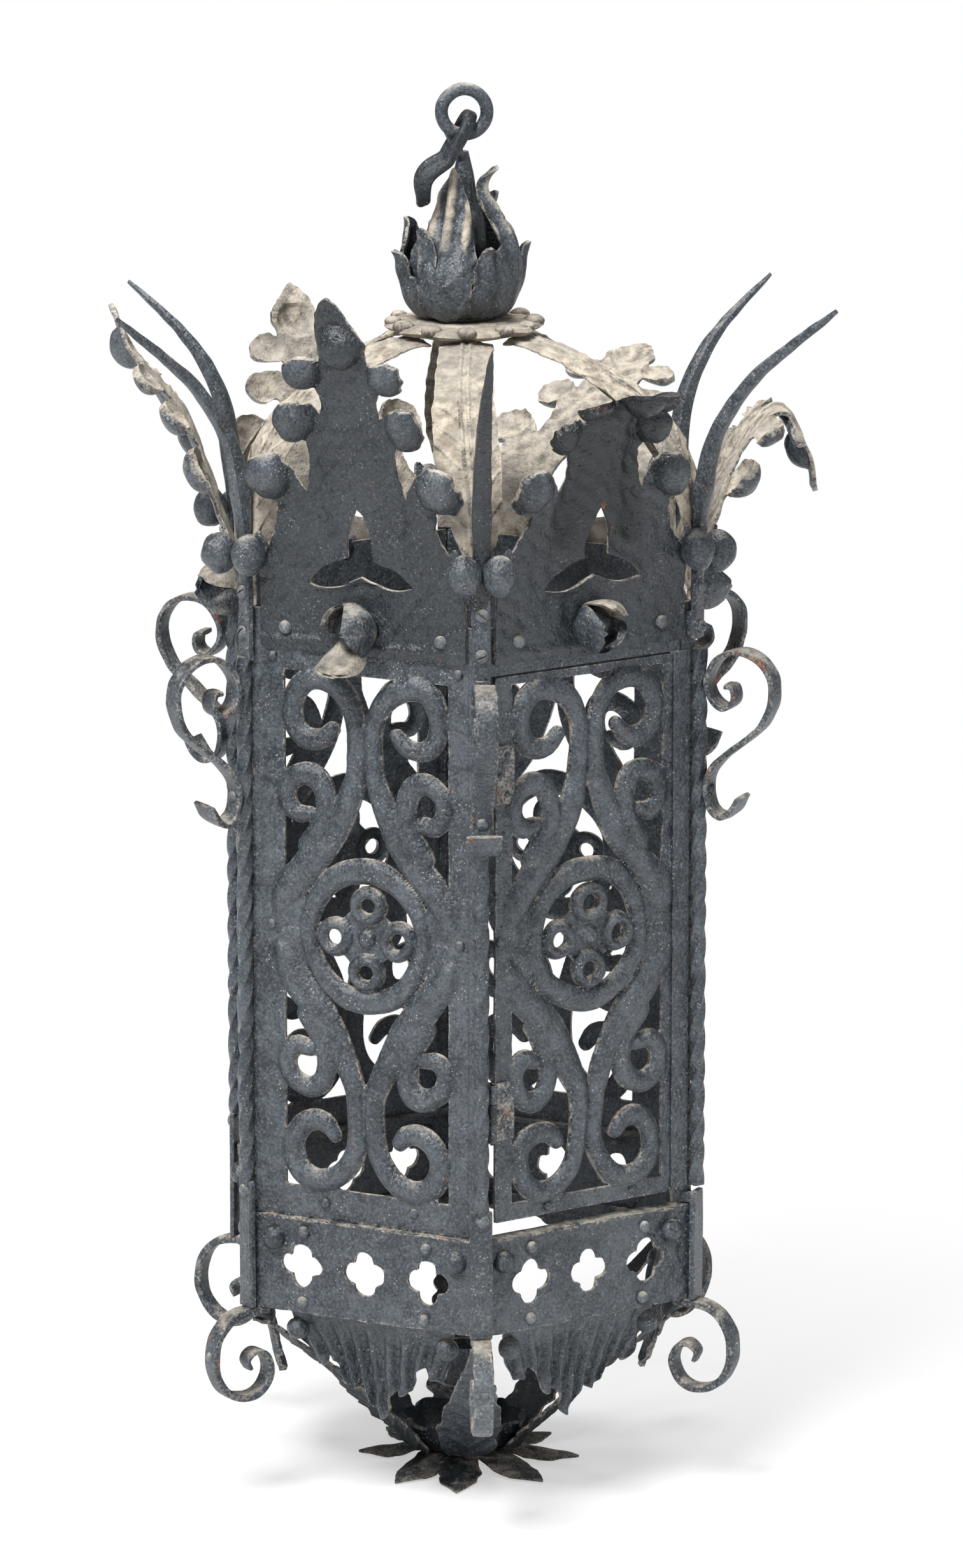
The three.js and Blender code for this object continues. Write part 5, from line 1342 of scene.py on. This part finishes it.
LINK_LEAN = math.radians(28)
EYE_LEAN = math.radians(25)
LINK_DOWN = np.array([-math.sin(LINK_LEAN), 0, -math.cos(LINK_LEAN)])
LINK_TOP = np.array([-2.5, 0, 805.0])
EYE_CENTRE = LINK_TOP + 7 * LINK_DOWN
EYE_UP = np.array([-math.sin(EYE_LEAN), 0, math.cos(EYE_LEAN)])
EYE_REACH = 7.3
LINK_BULGE = 6.5
EYE_TALL = EYE_REACH / math.sin(LINK_LEAN + EYE_LEAN)


class LANTERN_OT_hanger(bpy.types.Operator):
    """Stem with its nut and eye, the loose chain link and the hanging ring"""
    bl_idname = "lantern.hanger"
    bl_label = "Stem, link and ring"

    def execute(self, context):
        finish = finish_of("slate_iron")
        body = Body()
        foot = EYE_CENTRE[2] - EYE_TALL * EYE_UP[2]

        def planed(a, r, z):
            flat = ramp(z, 730, 745) * (1 - ramp(z, 778, 788))
            return r * (1 + 0.07 * flat * np.cos(6 * a)), z

        z = np.linspace(698.2, foot + 2.5, 30)
        r = np.interp(z, [698, 738, 752, 770, foot - 6, foot + 2.5], [10, 13, 11.5, 7, 4.9, 2.8])
        body.dust = 0.25
        body.lathe([(0.01, 675.4), (6, 675.4), (6, 698.1), *zip(r, z), (0.01, foot + 2.6)], 48,
                   [0.2] * 3 + [0.25] * 30 + [0.2], planed)
        nut = [[(9.4 * math.cos(a), 9.4 * math.sin(a), h) for a in np.arange(6) * math.pi / 3] for h in
               (681.2, 682, 686.4, 687.1)]
        body.sweep(nut, 0.7)
        a = np.linspace(0, 2 * math.pi, 64, endpoint=False)
        loop = EYE_CENTRE + EYE_TALL * np.cos(a)[:, None] * EYE_UP + EYE_REACH * np.sin(a)[:,
                                                                                           None] * np.array([0, 1.0, 0])
        body.tube(loop, 2.9, 14, loop=True, wear=0.5)
        put("eye_and_stem", body.mesh("eye_and_stem", 0.1, 80), finish, "lantern", ["eye_stem"])

        half = 11.35
        rings = []
        for centre, sign in ((LINK_TOP, -1), (LINK_TOP + 33.3 * LINK_DOWN, 1)):
            for b in np.linspace(0, math.pi, 24):
                outwards = np.array([0, 1.0, 0]) * -sign * math.cos(b) + LINK_DOWN * sign * math.sin(b)
                rings.append(centre + outwards * half + np.array([0, -half, 0]))
        path = resample(np.vstack([rings, rings[0]]), 131)[:-1]
        down = (path - LINK_TOP) @ LINK_DOWN
        belly = np.sin(math.pi * np.clip((down - 16) / 32, 0, 1)) ** 1.5
        aside = np.array([LINK_DOWN[2], 0, -LINK_DOWN[0]])
        path = path + LINK_BULGE * belly[:, None] * aside
        body = Body(0.2)
        body.tube(path, 3.9 + 0.6 * belly, 18, loop=True, twist=1.0, wear=0.4)
        put("twisted_link", body.mesh("twisted_link", 0.12, 81), finish_of("dark_iron"), "link",
            ["chain_link"])

        body = Body()
        a = np.linspace(0, 2 * math.pi, 96, endpoint=False)
        path = np.stack([RING_CENTRE[0] + 13.2 * np.cos(a), RING_CENTRE[1] + 0 * a,
                         RING_CENTRE[2] + 13.2 * np.sin(a)], 1)
        body.tube(path, 3.8, 18, loop=True, wear=0.4)
        put("worn_ring", body.mesh("worn_ring", 0.1, 82), finish_of("bare_iron"), "ring", ["hanging_ring"])
        return {"FINISHED"}


LEAF_PLACES = (0, 0.16, 0.33, 0.54, 0.7, 0.87, 1)
FRONT_LEAF = (15, 23, 26, 20, 14, 8.5, 1)
SHIELD_LEAF = (14, 22, 29.5, 15.5, 18.5, 8, 0.8)
TALL_LEAF = (13, 19, 20, 15, 9.5, 4.2, 0.6)
CALYX_LEAF = (11, 15, 16, 14, 11, 6, 0.6)


class LANTERN_OT_flower(bpy.types.Operator):
    """Crown flower: torn cup and the tall leaves that stand round the stem"""
    bl_idname = "lantern.flower"
    bl_label = "Crown flower"

    def execute(self, context):
        finish = finish_of("slate_iron")
        floor = 695.3
        body = Body()
        body.lathe([(6.8, floor), (20, floor), (24, floor + 2.2), (20, floor + 2.6), (6.8, floor + 2.3)], 48,
                   0.2)
        leaves = [
            (-26, SHIELD_LEAF, [(19, 1.5), (28, 5), (34.5, 17), (34, 31), (27, 47), (19, 66), (12.8, 90)], 1,
             0.75),
            (60, TALL_LEAF, [(18, 1.5), (26, 5), (32, 14), (34.5, 30), (31.5, 46), (23, 60), (14, 73),
                             (13, 82), (21, 92)],
             2, 0.5),
            (24, CALYX_LEAF, [(17, 1.5), (25, 5), (31, 14), (33.5, 28), (32, 40), (34, 47)], 2, 0.2),
            (-74, CALYX_LEAF, [(20, 1.5), (29, 6), (35, 16), (37.5, 28), (38.5, 36), (42, 43)], 3, 0.1),
            (-50, CALYX_LEAF, [(18, 1.5), (26, 6), (31, 16), (33, 32), (32, 48), (33.5, 57)], 2, 0.3),
            (93, CALYX_LEAF, [(18, 1.5), (26, 6), (31.5, 16), (34, 28), (34.5, 36), (37.5, 45)], 3, 0.1),
            (135, FRONT_LEAF, [(20, 1.5), (29, 6), (35, 18), (35, 32), (30, 46), (25, 62), (27, 72)], 3, 0.2),
            (-162, TALL_LEAF, [(21, 1.5), (30, 6), (34.5, 18), (33, 34), (25, 54), (16, 70), (12, 84)], 3,
             0.3),
            (-118, FRONT_LEAF, [(20, 1.5), (29, 6), (35, 18), (37, 32), (34, 48), (35, 58)], 3, 0.2),
        ]
        for k, (azimuth, widths, path, teeth, dusty) in enumerate(leaves):
            bend = bender([(r, floor + z) for r, z in path], lambda s: 27 * (1 - 0.35 * s))
            length = bend.length
            outline = toothed(length, lambda s, w=widths: float(np.interp(s, LEAF_PLACES, w)), teeth, 0.3,
                              0.42)

            def field(u, v, outline=outline, k=k):
                q = np.stack([u, v], -1)
                return polygon_depth(u + 0.5 * wobble(q, 24, 407 + k), v, outline)

            def lift(u, v, k=k, length=length):
                q = np.stack([u, v], -1)
                s = v / length
                flutes = 1.5 * np.cos(2 * math.pi * u / (14 - 5 * s)) * ramp(s, 0.35, 0.6)
                return 1.1 * veins(u, v, 24, -1.3, 1.2) + flutes * 0.8 + 0.45 * wobble(q, 22, 400 + k)

            # Dust along the flutes' ridges, and painted shade in the grooves between them.
            def dust(u, v, length=length, most=dusty):
                s = v / length
                stripes = 0.5 + 0.5 * np.cos(2 * math.pi * u / (14 - 5 * s))
                return most * ramp(s, 0.4, 0.62) * (0.45 + 0.75 * stripes) - 0.3 * (1 - stripes) * ramp(s,
                                                                                                        0.3, 0.6)

            body.pressed(field, lift, bend, (-32, 32, -1, length + 2), 1.05, 1.6, azimuth, dust, 0.25)
        put("torn_flower", body.mesh("torn_flower", 0.3, 90), finish, "lantern", ["crown_flower"])
        return {"FINISHED"}


# Scrolls

UPPER_SCROLL = [(181, 426), (176, 417.5), (169, 413.5), (162.5, 418), (159.6, 428), (161.2, 438),
                (168, 447.5),
                (182, 459), (194, 470), (200.5, 484), (200, 498), (192, 508.5), (181, 512.3), (169, 509.5),
                (161.6, 501),
                (159.6, 491), (163.5, 482), (170.5, 478.5), (176.5, 483), (175.5, 490.5), (170.5, 491.5)]
LOWER_SCROLL = [(141, 116.4), (157, 116.0), (168, 111.5), (175.8, 101), (177.8, 88), (174, 75), (165.5, 66.3),
                (154, 63.8), (144, 68.5), (139.6, 79), (142.8, 88), (149.5, 91), (155, 86.5), (153, 80.5)]


class LANTERN_OT_scrolls(bpy.types.Operator):
    """Upper scrolls on the bars and heavier lower scrolls under the band's corners"""
    bl_idname = "lantern.scrolls"
    bl_label = "Scrolls"

    def execute(self, context):
        finish = finish_of("bare_iron")
        rivets, door_rivets = [], []
        for k, azimuth in enumerate(CORNERS):
            body = Body()
            path = smooth(UPPER_SCROLL, 130)
            share = np.linspace(0, 1, 130)
            width = np.interp(share, [0, 0.035, 0.1, 0.14, 0.97, 1], [20, 20.5, 14, 13, 13, 11.5])
            thick = np.interp(share, [0, 0.04, 0.9, 1], [2.2, 3.2, 3.2, 2.6])
            body.strap(path, width, thick, azimuth, crown=0.7, wear=0.8)
            rides = "door" if k == DOOR_CORNER else "lantern"
            put("upper_curl_%d" % (k + 1), body.mesh("upper_curl_%d" % (k + 1), 0.25, 110 + k), finish, rides,
                ["upper_scroll_%d" % (k + 1)])
            row = (azimuth, 161.2, 0, 428.5, 3.6)
            (door_rivets if rides == "door" else rivets).append(row)
            body = Body()
            path = smooth(LOWER_SCROLL, 110)
            thick = np.interp(np.linspace(0, 1, 110), [0, 0.8, 1], [4.5, 4, 2.4])
            width = np.interp(np.linspace(0, 1, 110), [0, 0.9, 1], [11.5, 11.5, 9])
            body.strap(path, width, thick, azimuth, crown=0.6, wear=0.8)
            seen = finish_of("worn_iron") if k == 0 else finish
            put("lower_curl_%d" % (k + 1), body.mesh("lower_curl_%d" % (k + 1), 0.25, 120 + k), seen,
                "lantern",
                ["lower_scroll_%d" % (k + 1)])
            rivets.append((azimuth, 179.6, 0, 92, 3.0, (1, 0, 0.1)))
        heads("scroll_rivets", rivets, "lantern", finish_of("worn_iron"), rise=0.65)
        heads("door_scroll_rivet", door_rivets, "door", finish, rise=0.55)
        return {"FINISHED"}


# Valances, basket and base

VALANCE_EDGE = [(-52, 104), (-46, 90), (-41, 82), (-36, 84), (-32, 90), (-27, 87), (-22, 74), (-17, 69),
                (-13, 73),
                (-9, 71), (-5, 60), (0, 52.5), (4, 58), (8, 69), (12, 72), (17, 69), (22, 74), (27, 86),
                (32, 89),
                (36, 83), (41, 81), (46, 89), (52, 104)]


REAR_VALANCE_SHARE = 0.22


class LANTERN_OT_valances(bpy.types.Operator):
    """Fluted leaves hung inside the band's lower edge, with a ball at each upper corner"""
    bl_idname = "lantern.valances"
    bl_label = "Valances"

    def execute(self, context):
        finish = finish_of("slate_iron")
        for k, azimuth in enumerate(FACES):
            share = REAR_VALANCE_SHARE if 90 < azimuth < 270 else 1.0
            edge = [(x, 128 - (128 - y) * share) for x, y in VALANCE_EDGE]
            outline = [(-54, 128)] + edge + [(54, 128)]

            def field(u, v, k=k, outline=outline):
                q = np.stack([u, v], -1)
                low = ramp(-v, -118, -95)
                return polygon_depth(u + 0.8 * low * wobble(q, 18, 500 + k),
                                     v + 1.2 * low * wobble(q, 13, 510 + k), outline)

            def lift(u, v, k=k):
                q = np.stack([u, v], -1)
                pace = 6.6 + np.clip(v - 60, 0, 60) * 0.1
                depth = 0.5 + 2.5 * ramp(-v, -119, -96)
                flare = 2.5 * ramp(-v, -92, -60)
                return depth * np.cos(2 * math.pi * u / pace + 0.5 * wobble(q, 40,
                                                                            520 + k)) * 0.75 - 1.4 + flare

            def bend(u, v, h):
                drop = np.clip(BAND_BOTTOM - v, 0, None)
                return np.stack([126.8 - 0.32 * drop + h * np.where(drop > 0, 1,
                                                                    0.35) - 0.004 * u * u * (drop > 0) * 0.3,
                                 u * (1 - 0.0008 * drop), v], -1)

            body = Body()
            body.pressed(field, lift, bend, (-56, 56, 48, 129), 1.15, 1.8, azimuth)
            for side in (-1, 1):
                body.ball((121.3, side * 49, 128 - 22 * share), 6.8, azimuth, (0.95, 1, 1))
            put("fluted_valance_%d" % (k + 1), body.mesh("fluted_valance_%d" % (k + 1), 0.3, 130 + k), finish,
                "lantern",
                ["valance_%d" % (k + 1)])
        return {"FINISHED"}


BASKET_PATH = [(33, 10.4), (37.4, 15.2), (45, 24), (57, 35), (72, 50), (90, 67.5), (113, 86), (139, 107),
               (147, 108.6)]


class LANTERN_OT_basket(bpy.types.Operator):
    """Leafy basket ribs, crumpled bowl, rosette of pointed petals and the candle socket"""
    bl_idname = "lantern.basket"
    bl_label = "Basket and base"

    def execute(self, context):
        finish = finish_of("dark_iron")
        bend = bender(BASKET_PATH)
        length = bend.length

        def half(v):
            return np.interp(v / length, [0, 0.08, 0.22, 0.36, 0.5, 0.7, 0.88, 1],
                             [12, 16.5, 18.5, 17, 13, 8.5, 5.5, 4.6])

        for k, azimuth in enumerate(CORNERS):
            def field(u, v, k=k):
                q = np.stack([u, v], -1)
                nick = 0.9 * wobble(q, 14,
                                    600 + k) + (0.3 if k == 0 else 1.1) * np.cos(2 * math.pi * v / 12 + 2 * k)
                return np.minimum(half(v) + nick * ramp(half(v), 5, 11) - np.abs(u),
                                  np.minimum(v, length - v))

            def lift(u, v, k=k):
                q = np.stack([u, v], -1)
                return ramp(half(v), 5, 10) * veins(u, v, 12, -0.9, 1.8) + 0.5 * wobble(q, 16, 610 + k) - 0.4

            body = Body()
            body.pressed(field, lift, bend, (-22, 22, -1, length + 1), 1.2, 1.9, azimuth)
            seen = finish_of("slate_iron") if k == 0 else finish
            put("leafy_rib_%d" % (k + 1), body.mesh("leafy_rib_%d" % (k + 1), 0.25, 140 + k), seen, "lantern",
                ["basket_rib_%d" % (k + 1)])

        def crumple(a, r, z):
            rough = np.clip((r - 24) / 12, 0, 1)
            return r + rough * (1.3 * np.sin(9 * a) + 0.8 * np.sin(17 * a + z)), z + rough * (1.4 * np.sin(9 * a + 1.2))

        body = Body()
        body.lathe([(0.01, 8.5), (24, 8.5), (29, 10), (34, 15.5), (36.5, 20), (36.6, 25), (34.6, 26.4),
                    (33, 19), (30, 14),
                    (26, 11), (0.01, 10.9)], 120, 0.4, crumple)
        put("crumpled_bowl", body.mesh("crumpled_bowl", 0.3, 150), finish, "lantern", ["base_hub"])

        body = Body()
        body.lathe([(0.01, 5.9), (25, 5.9), (27, 7), (26, 8.0), (0.01, 8.1)], 40, 0.3)
        petals = [(-97, 63), (-38.5, 71.5), (-7, 78), (36, 74), (80, 70), (122, 66), (168, 72), (-140, 68)]
        for k, (azimuth, reach) in enumerate(petals):
            path = bender([(reach, 1.4), (reach * 0.72, 2.6), (reach * 0.5, 5.2), (26, 6.4), (18, 6.6)])
            size = path.length

            def petal(u, v, size=size, k=k):
                q = np.stack([u, v], -1)
                s = v / size
                wide = np.interp(s, [0, 0.08, 0.3, 0.55, 0.8, 1], [0.4, 3.0, 10.5, 13, 11, 9])
                return np.minimum(wide + 0.6 * wobble(q, 14, 700 + k) * ramp(s, 0.05, 0.3) - np.abs(u),
                                  np.minimum(v, size - v))

            def lift(u, v, k=k, size=size):
                big = ramp(v / size, 0.05, 0.3)
                return big * (1.4 * np.exp(-(np.abs(u) / 2.5) ** 2) - 0.012 * u * u * (1 - ramp(v / size,
                                                                                                0.55, 0.8)) + 0.5)

            body.pressed(petal, lift, path, (-16, 16, -1, size + 1), 1.1, 1.3, azimuth)
        put("petal_rosette", body.mesh("petal_rosette", 0.12, 151), finish, "lantern", ["base_rosette"])

        body = Body()

        def frill(a, r, z):
            return r + 0.8 * np.cos(8 * a) * (r > 14), z
        body.lathe([(0.01, 11.2), (13, 11.2), (13, 13), (6.5, 16), (5, 20), (5, 40), (7, 43), (15, 45),
                    (15.6, 46.6),
                    (12.4, 46.9), (12.4, 69), (12.0, 70), (11.1, 69.8), (11, 48), (0.01, 48)], 64, 0.3, frill)
        put("candle_cup", body.mesh("candle_cup", 0.08, 152), finish_of("bare_iron"), "lantern",
            ["candle_socket"])
        return {"FINISHED"}


# Stage

SKY_LIGHT = 0.3


class LANTERN_OT_stage(bpy.types.Operator):
    """Pale floor, white surroundings, soft lamps and the camera"""
    bl_idname = "lantern.stage"
    bl_label = "Stage"

    def execute(self, context):
        scene = context.scene
        scene.view_settings.view_transform = "Standard"
        mesh = bpy.data.meshes.new("floor")
        size = 6.0
        mesh.from_pydata([(-size, -size, 0), (size, -size, 0), (size, size, 0), (-size, size, 0)], [],
                         [(0, 1, 2, 3)])
        floor = bpy.data.objects.new("floor", mesh)
        scene.collection.objects.link(floor)
        mesh.materials.append(floor_finish())
        floor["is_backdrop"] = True

        world = bpy.data.worlds.new("surroundings")
        scene.world = world
        world.use_nodes = True
        world.node_tree.nodes.clear()
        g = Graph(world.node_tree)
        camera_ray = g.node("ShaderNodeLightPath", output="Is Camera Ray")
        strength = SKY_LIGHT + camera_ray * (1 - SKY_LIGHT)
        shine = g.node("ShaderNodeBackground", None, {"Color": (1, 1, 1, 1), "Strength": strength})
        g.node("ShaderNodeOutputWorld", None, {"Surface": shine})

        for name, spot, target, width, power in (
                ("key_lamp", (-1.25, -1.75, 3.35), (0, 0, 0.45), 1.3, 188),
                ("fill_lamp", (2.8, -2.2, 1.6), (0, 0, 0.4), 1.6, 20),
                ("top_lamp", (0.3, 0.9, 3.3), (0, 0, 0.6), 1.2, 64)):
            lamp = bpy.data.lights.new(name, "AREA")
            lamp.energy, lamp.size = power, width
            holder = bpy.data.objects.new(name, lamp)
            holder.location = spot
            holder.rotation_euler = (Vector(target) - Vector(spot)).to_track_quat("-Z", "Y").to_euler()
            scene.collection.objects.link(holder)

        view = bpy.data.cameras.new("camera")
        view.sensor_fit, view.sensor_height, view.sensor_width = "VERTICAL", 36.0, 36.0
        view.lens = 12868.6 / 2463 * 36.0
        view.shift_x = 28.6 / 2463
        view.clip_end = 50
        turn, pitch, distance, height = math.radians(-3.896), 0.2271, 4.7246, 1.507
        holder = bpy.data.objects.new("camera", view)
        holder.location = (math.sin(turn) * distance, -math.cos(turn) * distance, height)
        gaze = Vector((-math.sin(turn) * math.cos(pitch), math.cos(turn) * math.cos(pitch), -math.sin(pitch)))
        holder.rotation_euler = gaze.to_track_quat("-Z", "Y").to_euler()
        scene.collection.objects.link(holder)
        scene.camera = holder
        return {"FINISHED"}


def floor_finish():
    material = bpy.data.materials.new("pale_floor")
    material.use_nodes = True
    material.node_tree.nodes.clear()
    g = Graph(material.node_tree)
    matte = g.node("ShaderNodeBsdfDiffuse", None, {"Color": (0.86, 0.86, 0.86, 1)})
    white = g.node("ShaderNodeEmission", None, {"Color": (1, 1, 1, 1), "Strength": 1.0})
    at = g.node("ShaderNodeTexCoord", output="Object")
    away = g.node("ShaderNodeVectorMath", {"operation": "LENGTH"}, {0: at}, "Value")
    share = g.node("ShaderNodeLightPath", output="Is Camera Ray") * (0.5 + away.between(0.12, 0.75) * 0.5)
    mixed = g.node("ShaderNodeMixShader", None, {0: share, 1: matte, 2: white})
    g.node("ShaderNodeOutputMaterial", None, {"Surface": mixed})
    return material


OPERATORS = (LANTERN_OT_stage, LANTERN_OT_panels, LANTERN_OT_door, LANTERN_OT_hinges, LANTERN_OT_band,
             LANTERN_OT_crests,
             LANTERN_OT_posts, LANTERN_OT_dome, LANTERN_OT_hanger, LANTERN_OT_flower, LANTERN_OT_scrolls,
             LANTERN_OT_valances, LANTERN_OT_basket)


class LANTERN_PT_sidebar(bpy.types.Panel):
    """The lantern's pieces and settings"""
    bl_idname = "LANTERN_PT_sidebar"
    bl_label = "Ceiling lantern"
    bl_space_type = "VIEW_3D"
    bl_region_type = "UI"
    bl_category = "Lantern"

    def draw(self, context):
        layout = self.layout
        for settings in (context.scene.lantern_finish, context.scene.lantern_sizes):
            box = layout.box()
            for key in settings.__annotations__:
                box.prop(settings, key)
        for operator in OPERATORS:
            layout.operator(operator.bl_idname)


CLASSES = (LanternFinish, LanternSizes, *OPERATORS, LANTERN_PT_sidebar)


def register():
    for item in CLASSES:
        bpy.utils.register_class(item)
    bpy.types.Scene.lantern_finish = PointerProperty(type=LanternFinish)
    bpy.types.Scene.lantern_sizes = PointerProperty(type=LanternSizes)


def unregister():
    del bpy.types.Scene.lantern_sizes
    del bpy.types.Scene.lantern_finish
    for item in reversed(CLASSES):
        bpy.utils.unregister_class(item)


def main():
    register()
    for operator in OPERATORS:
        family, name = operator.bl_idname.split(".")
        getattr(getattr(bpy.ops, family), name)()
    plain = lambda box: [[float(x) for x in corner] for corner in box]
    {"cad": plain(CAD_BOX), "visual": plain(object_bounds())}


if __name__ == "__main__":
    main()
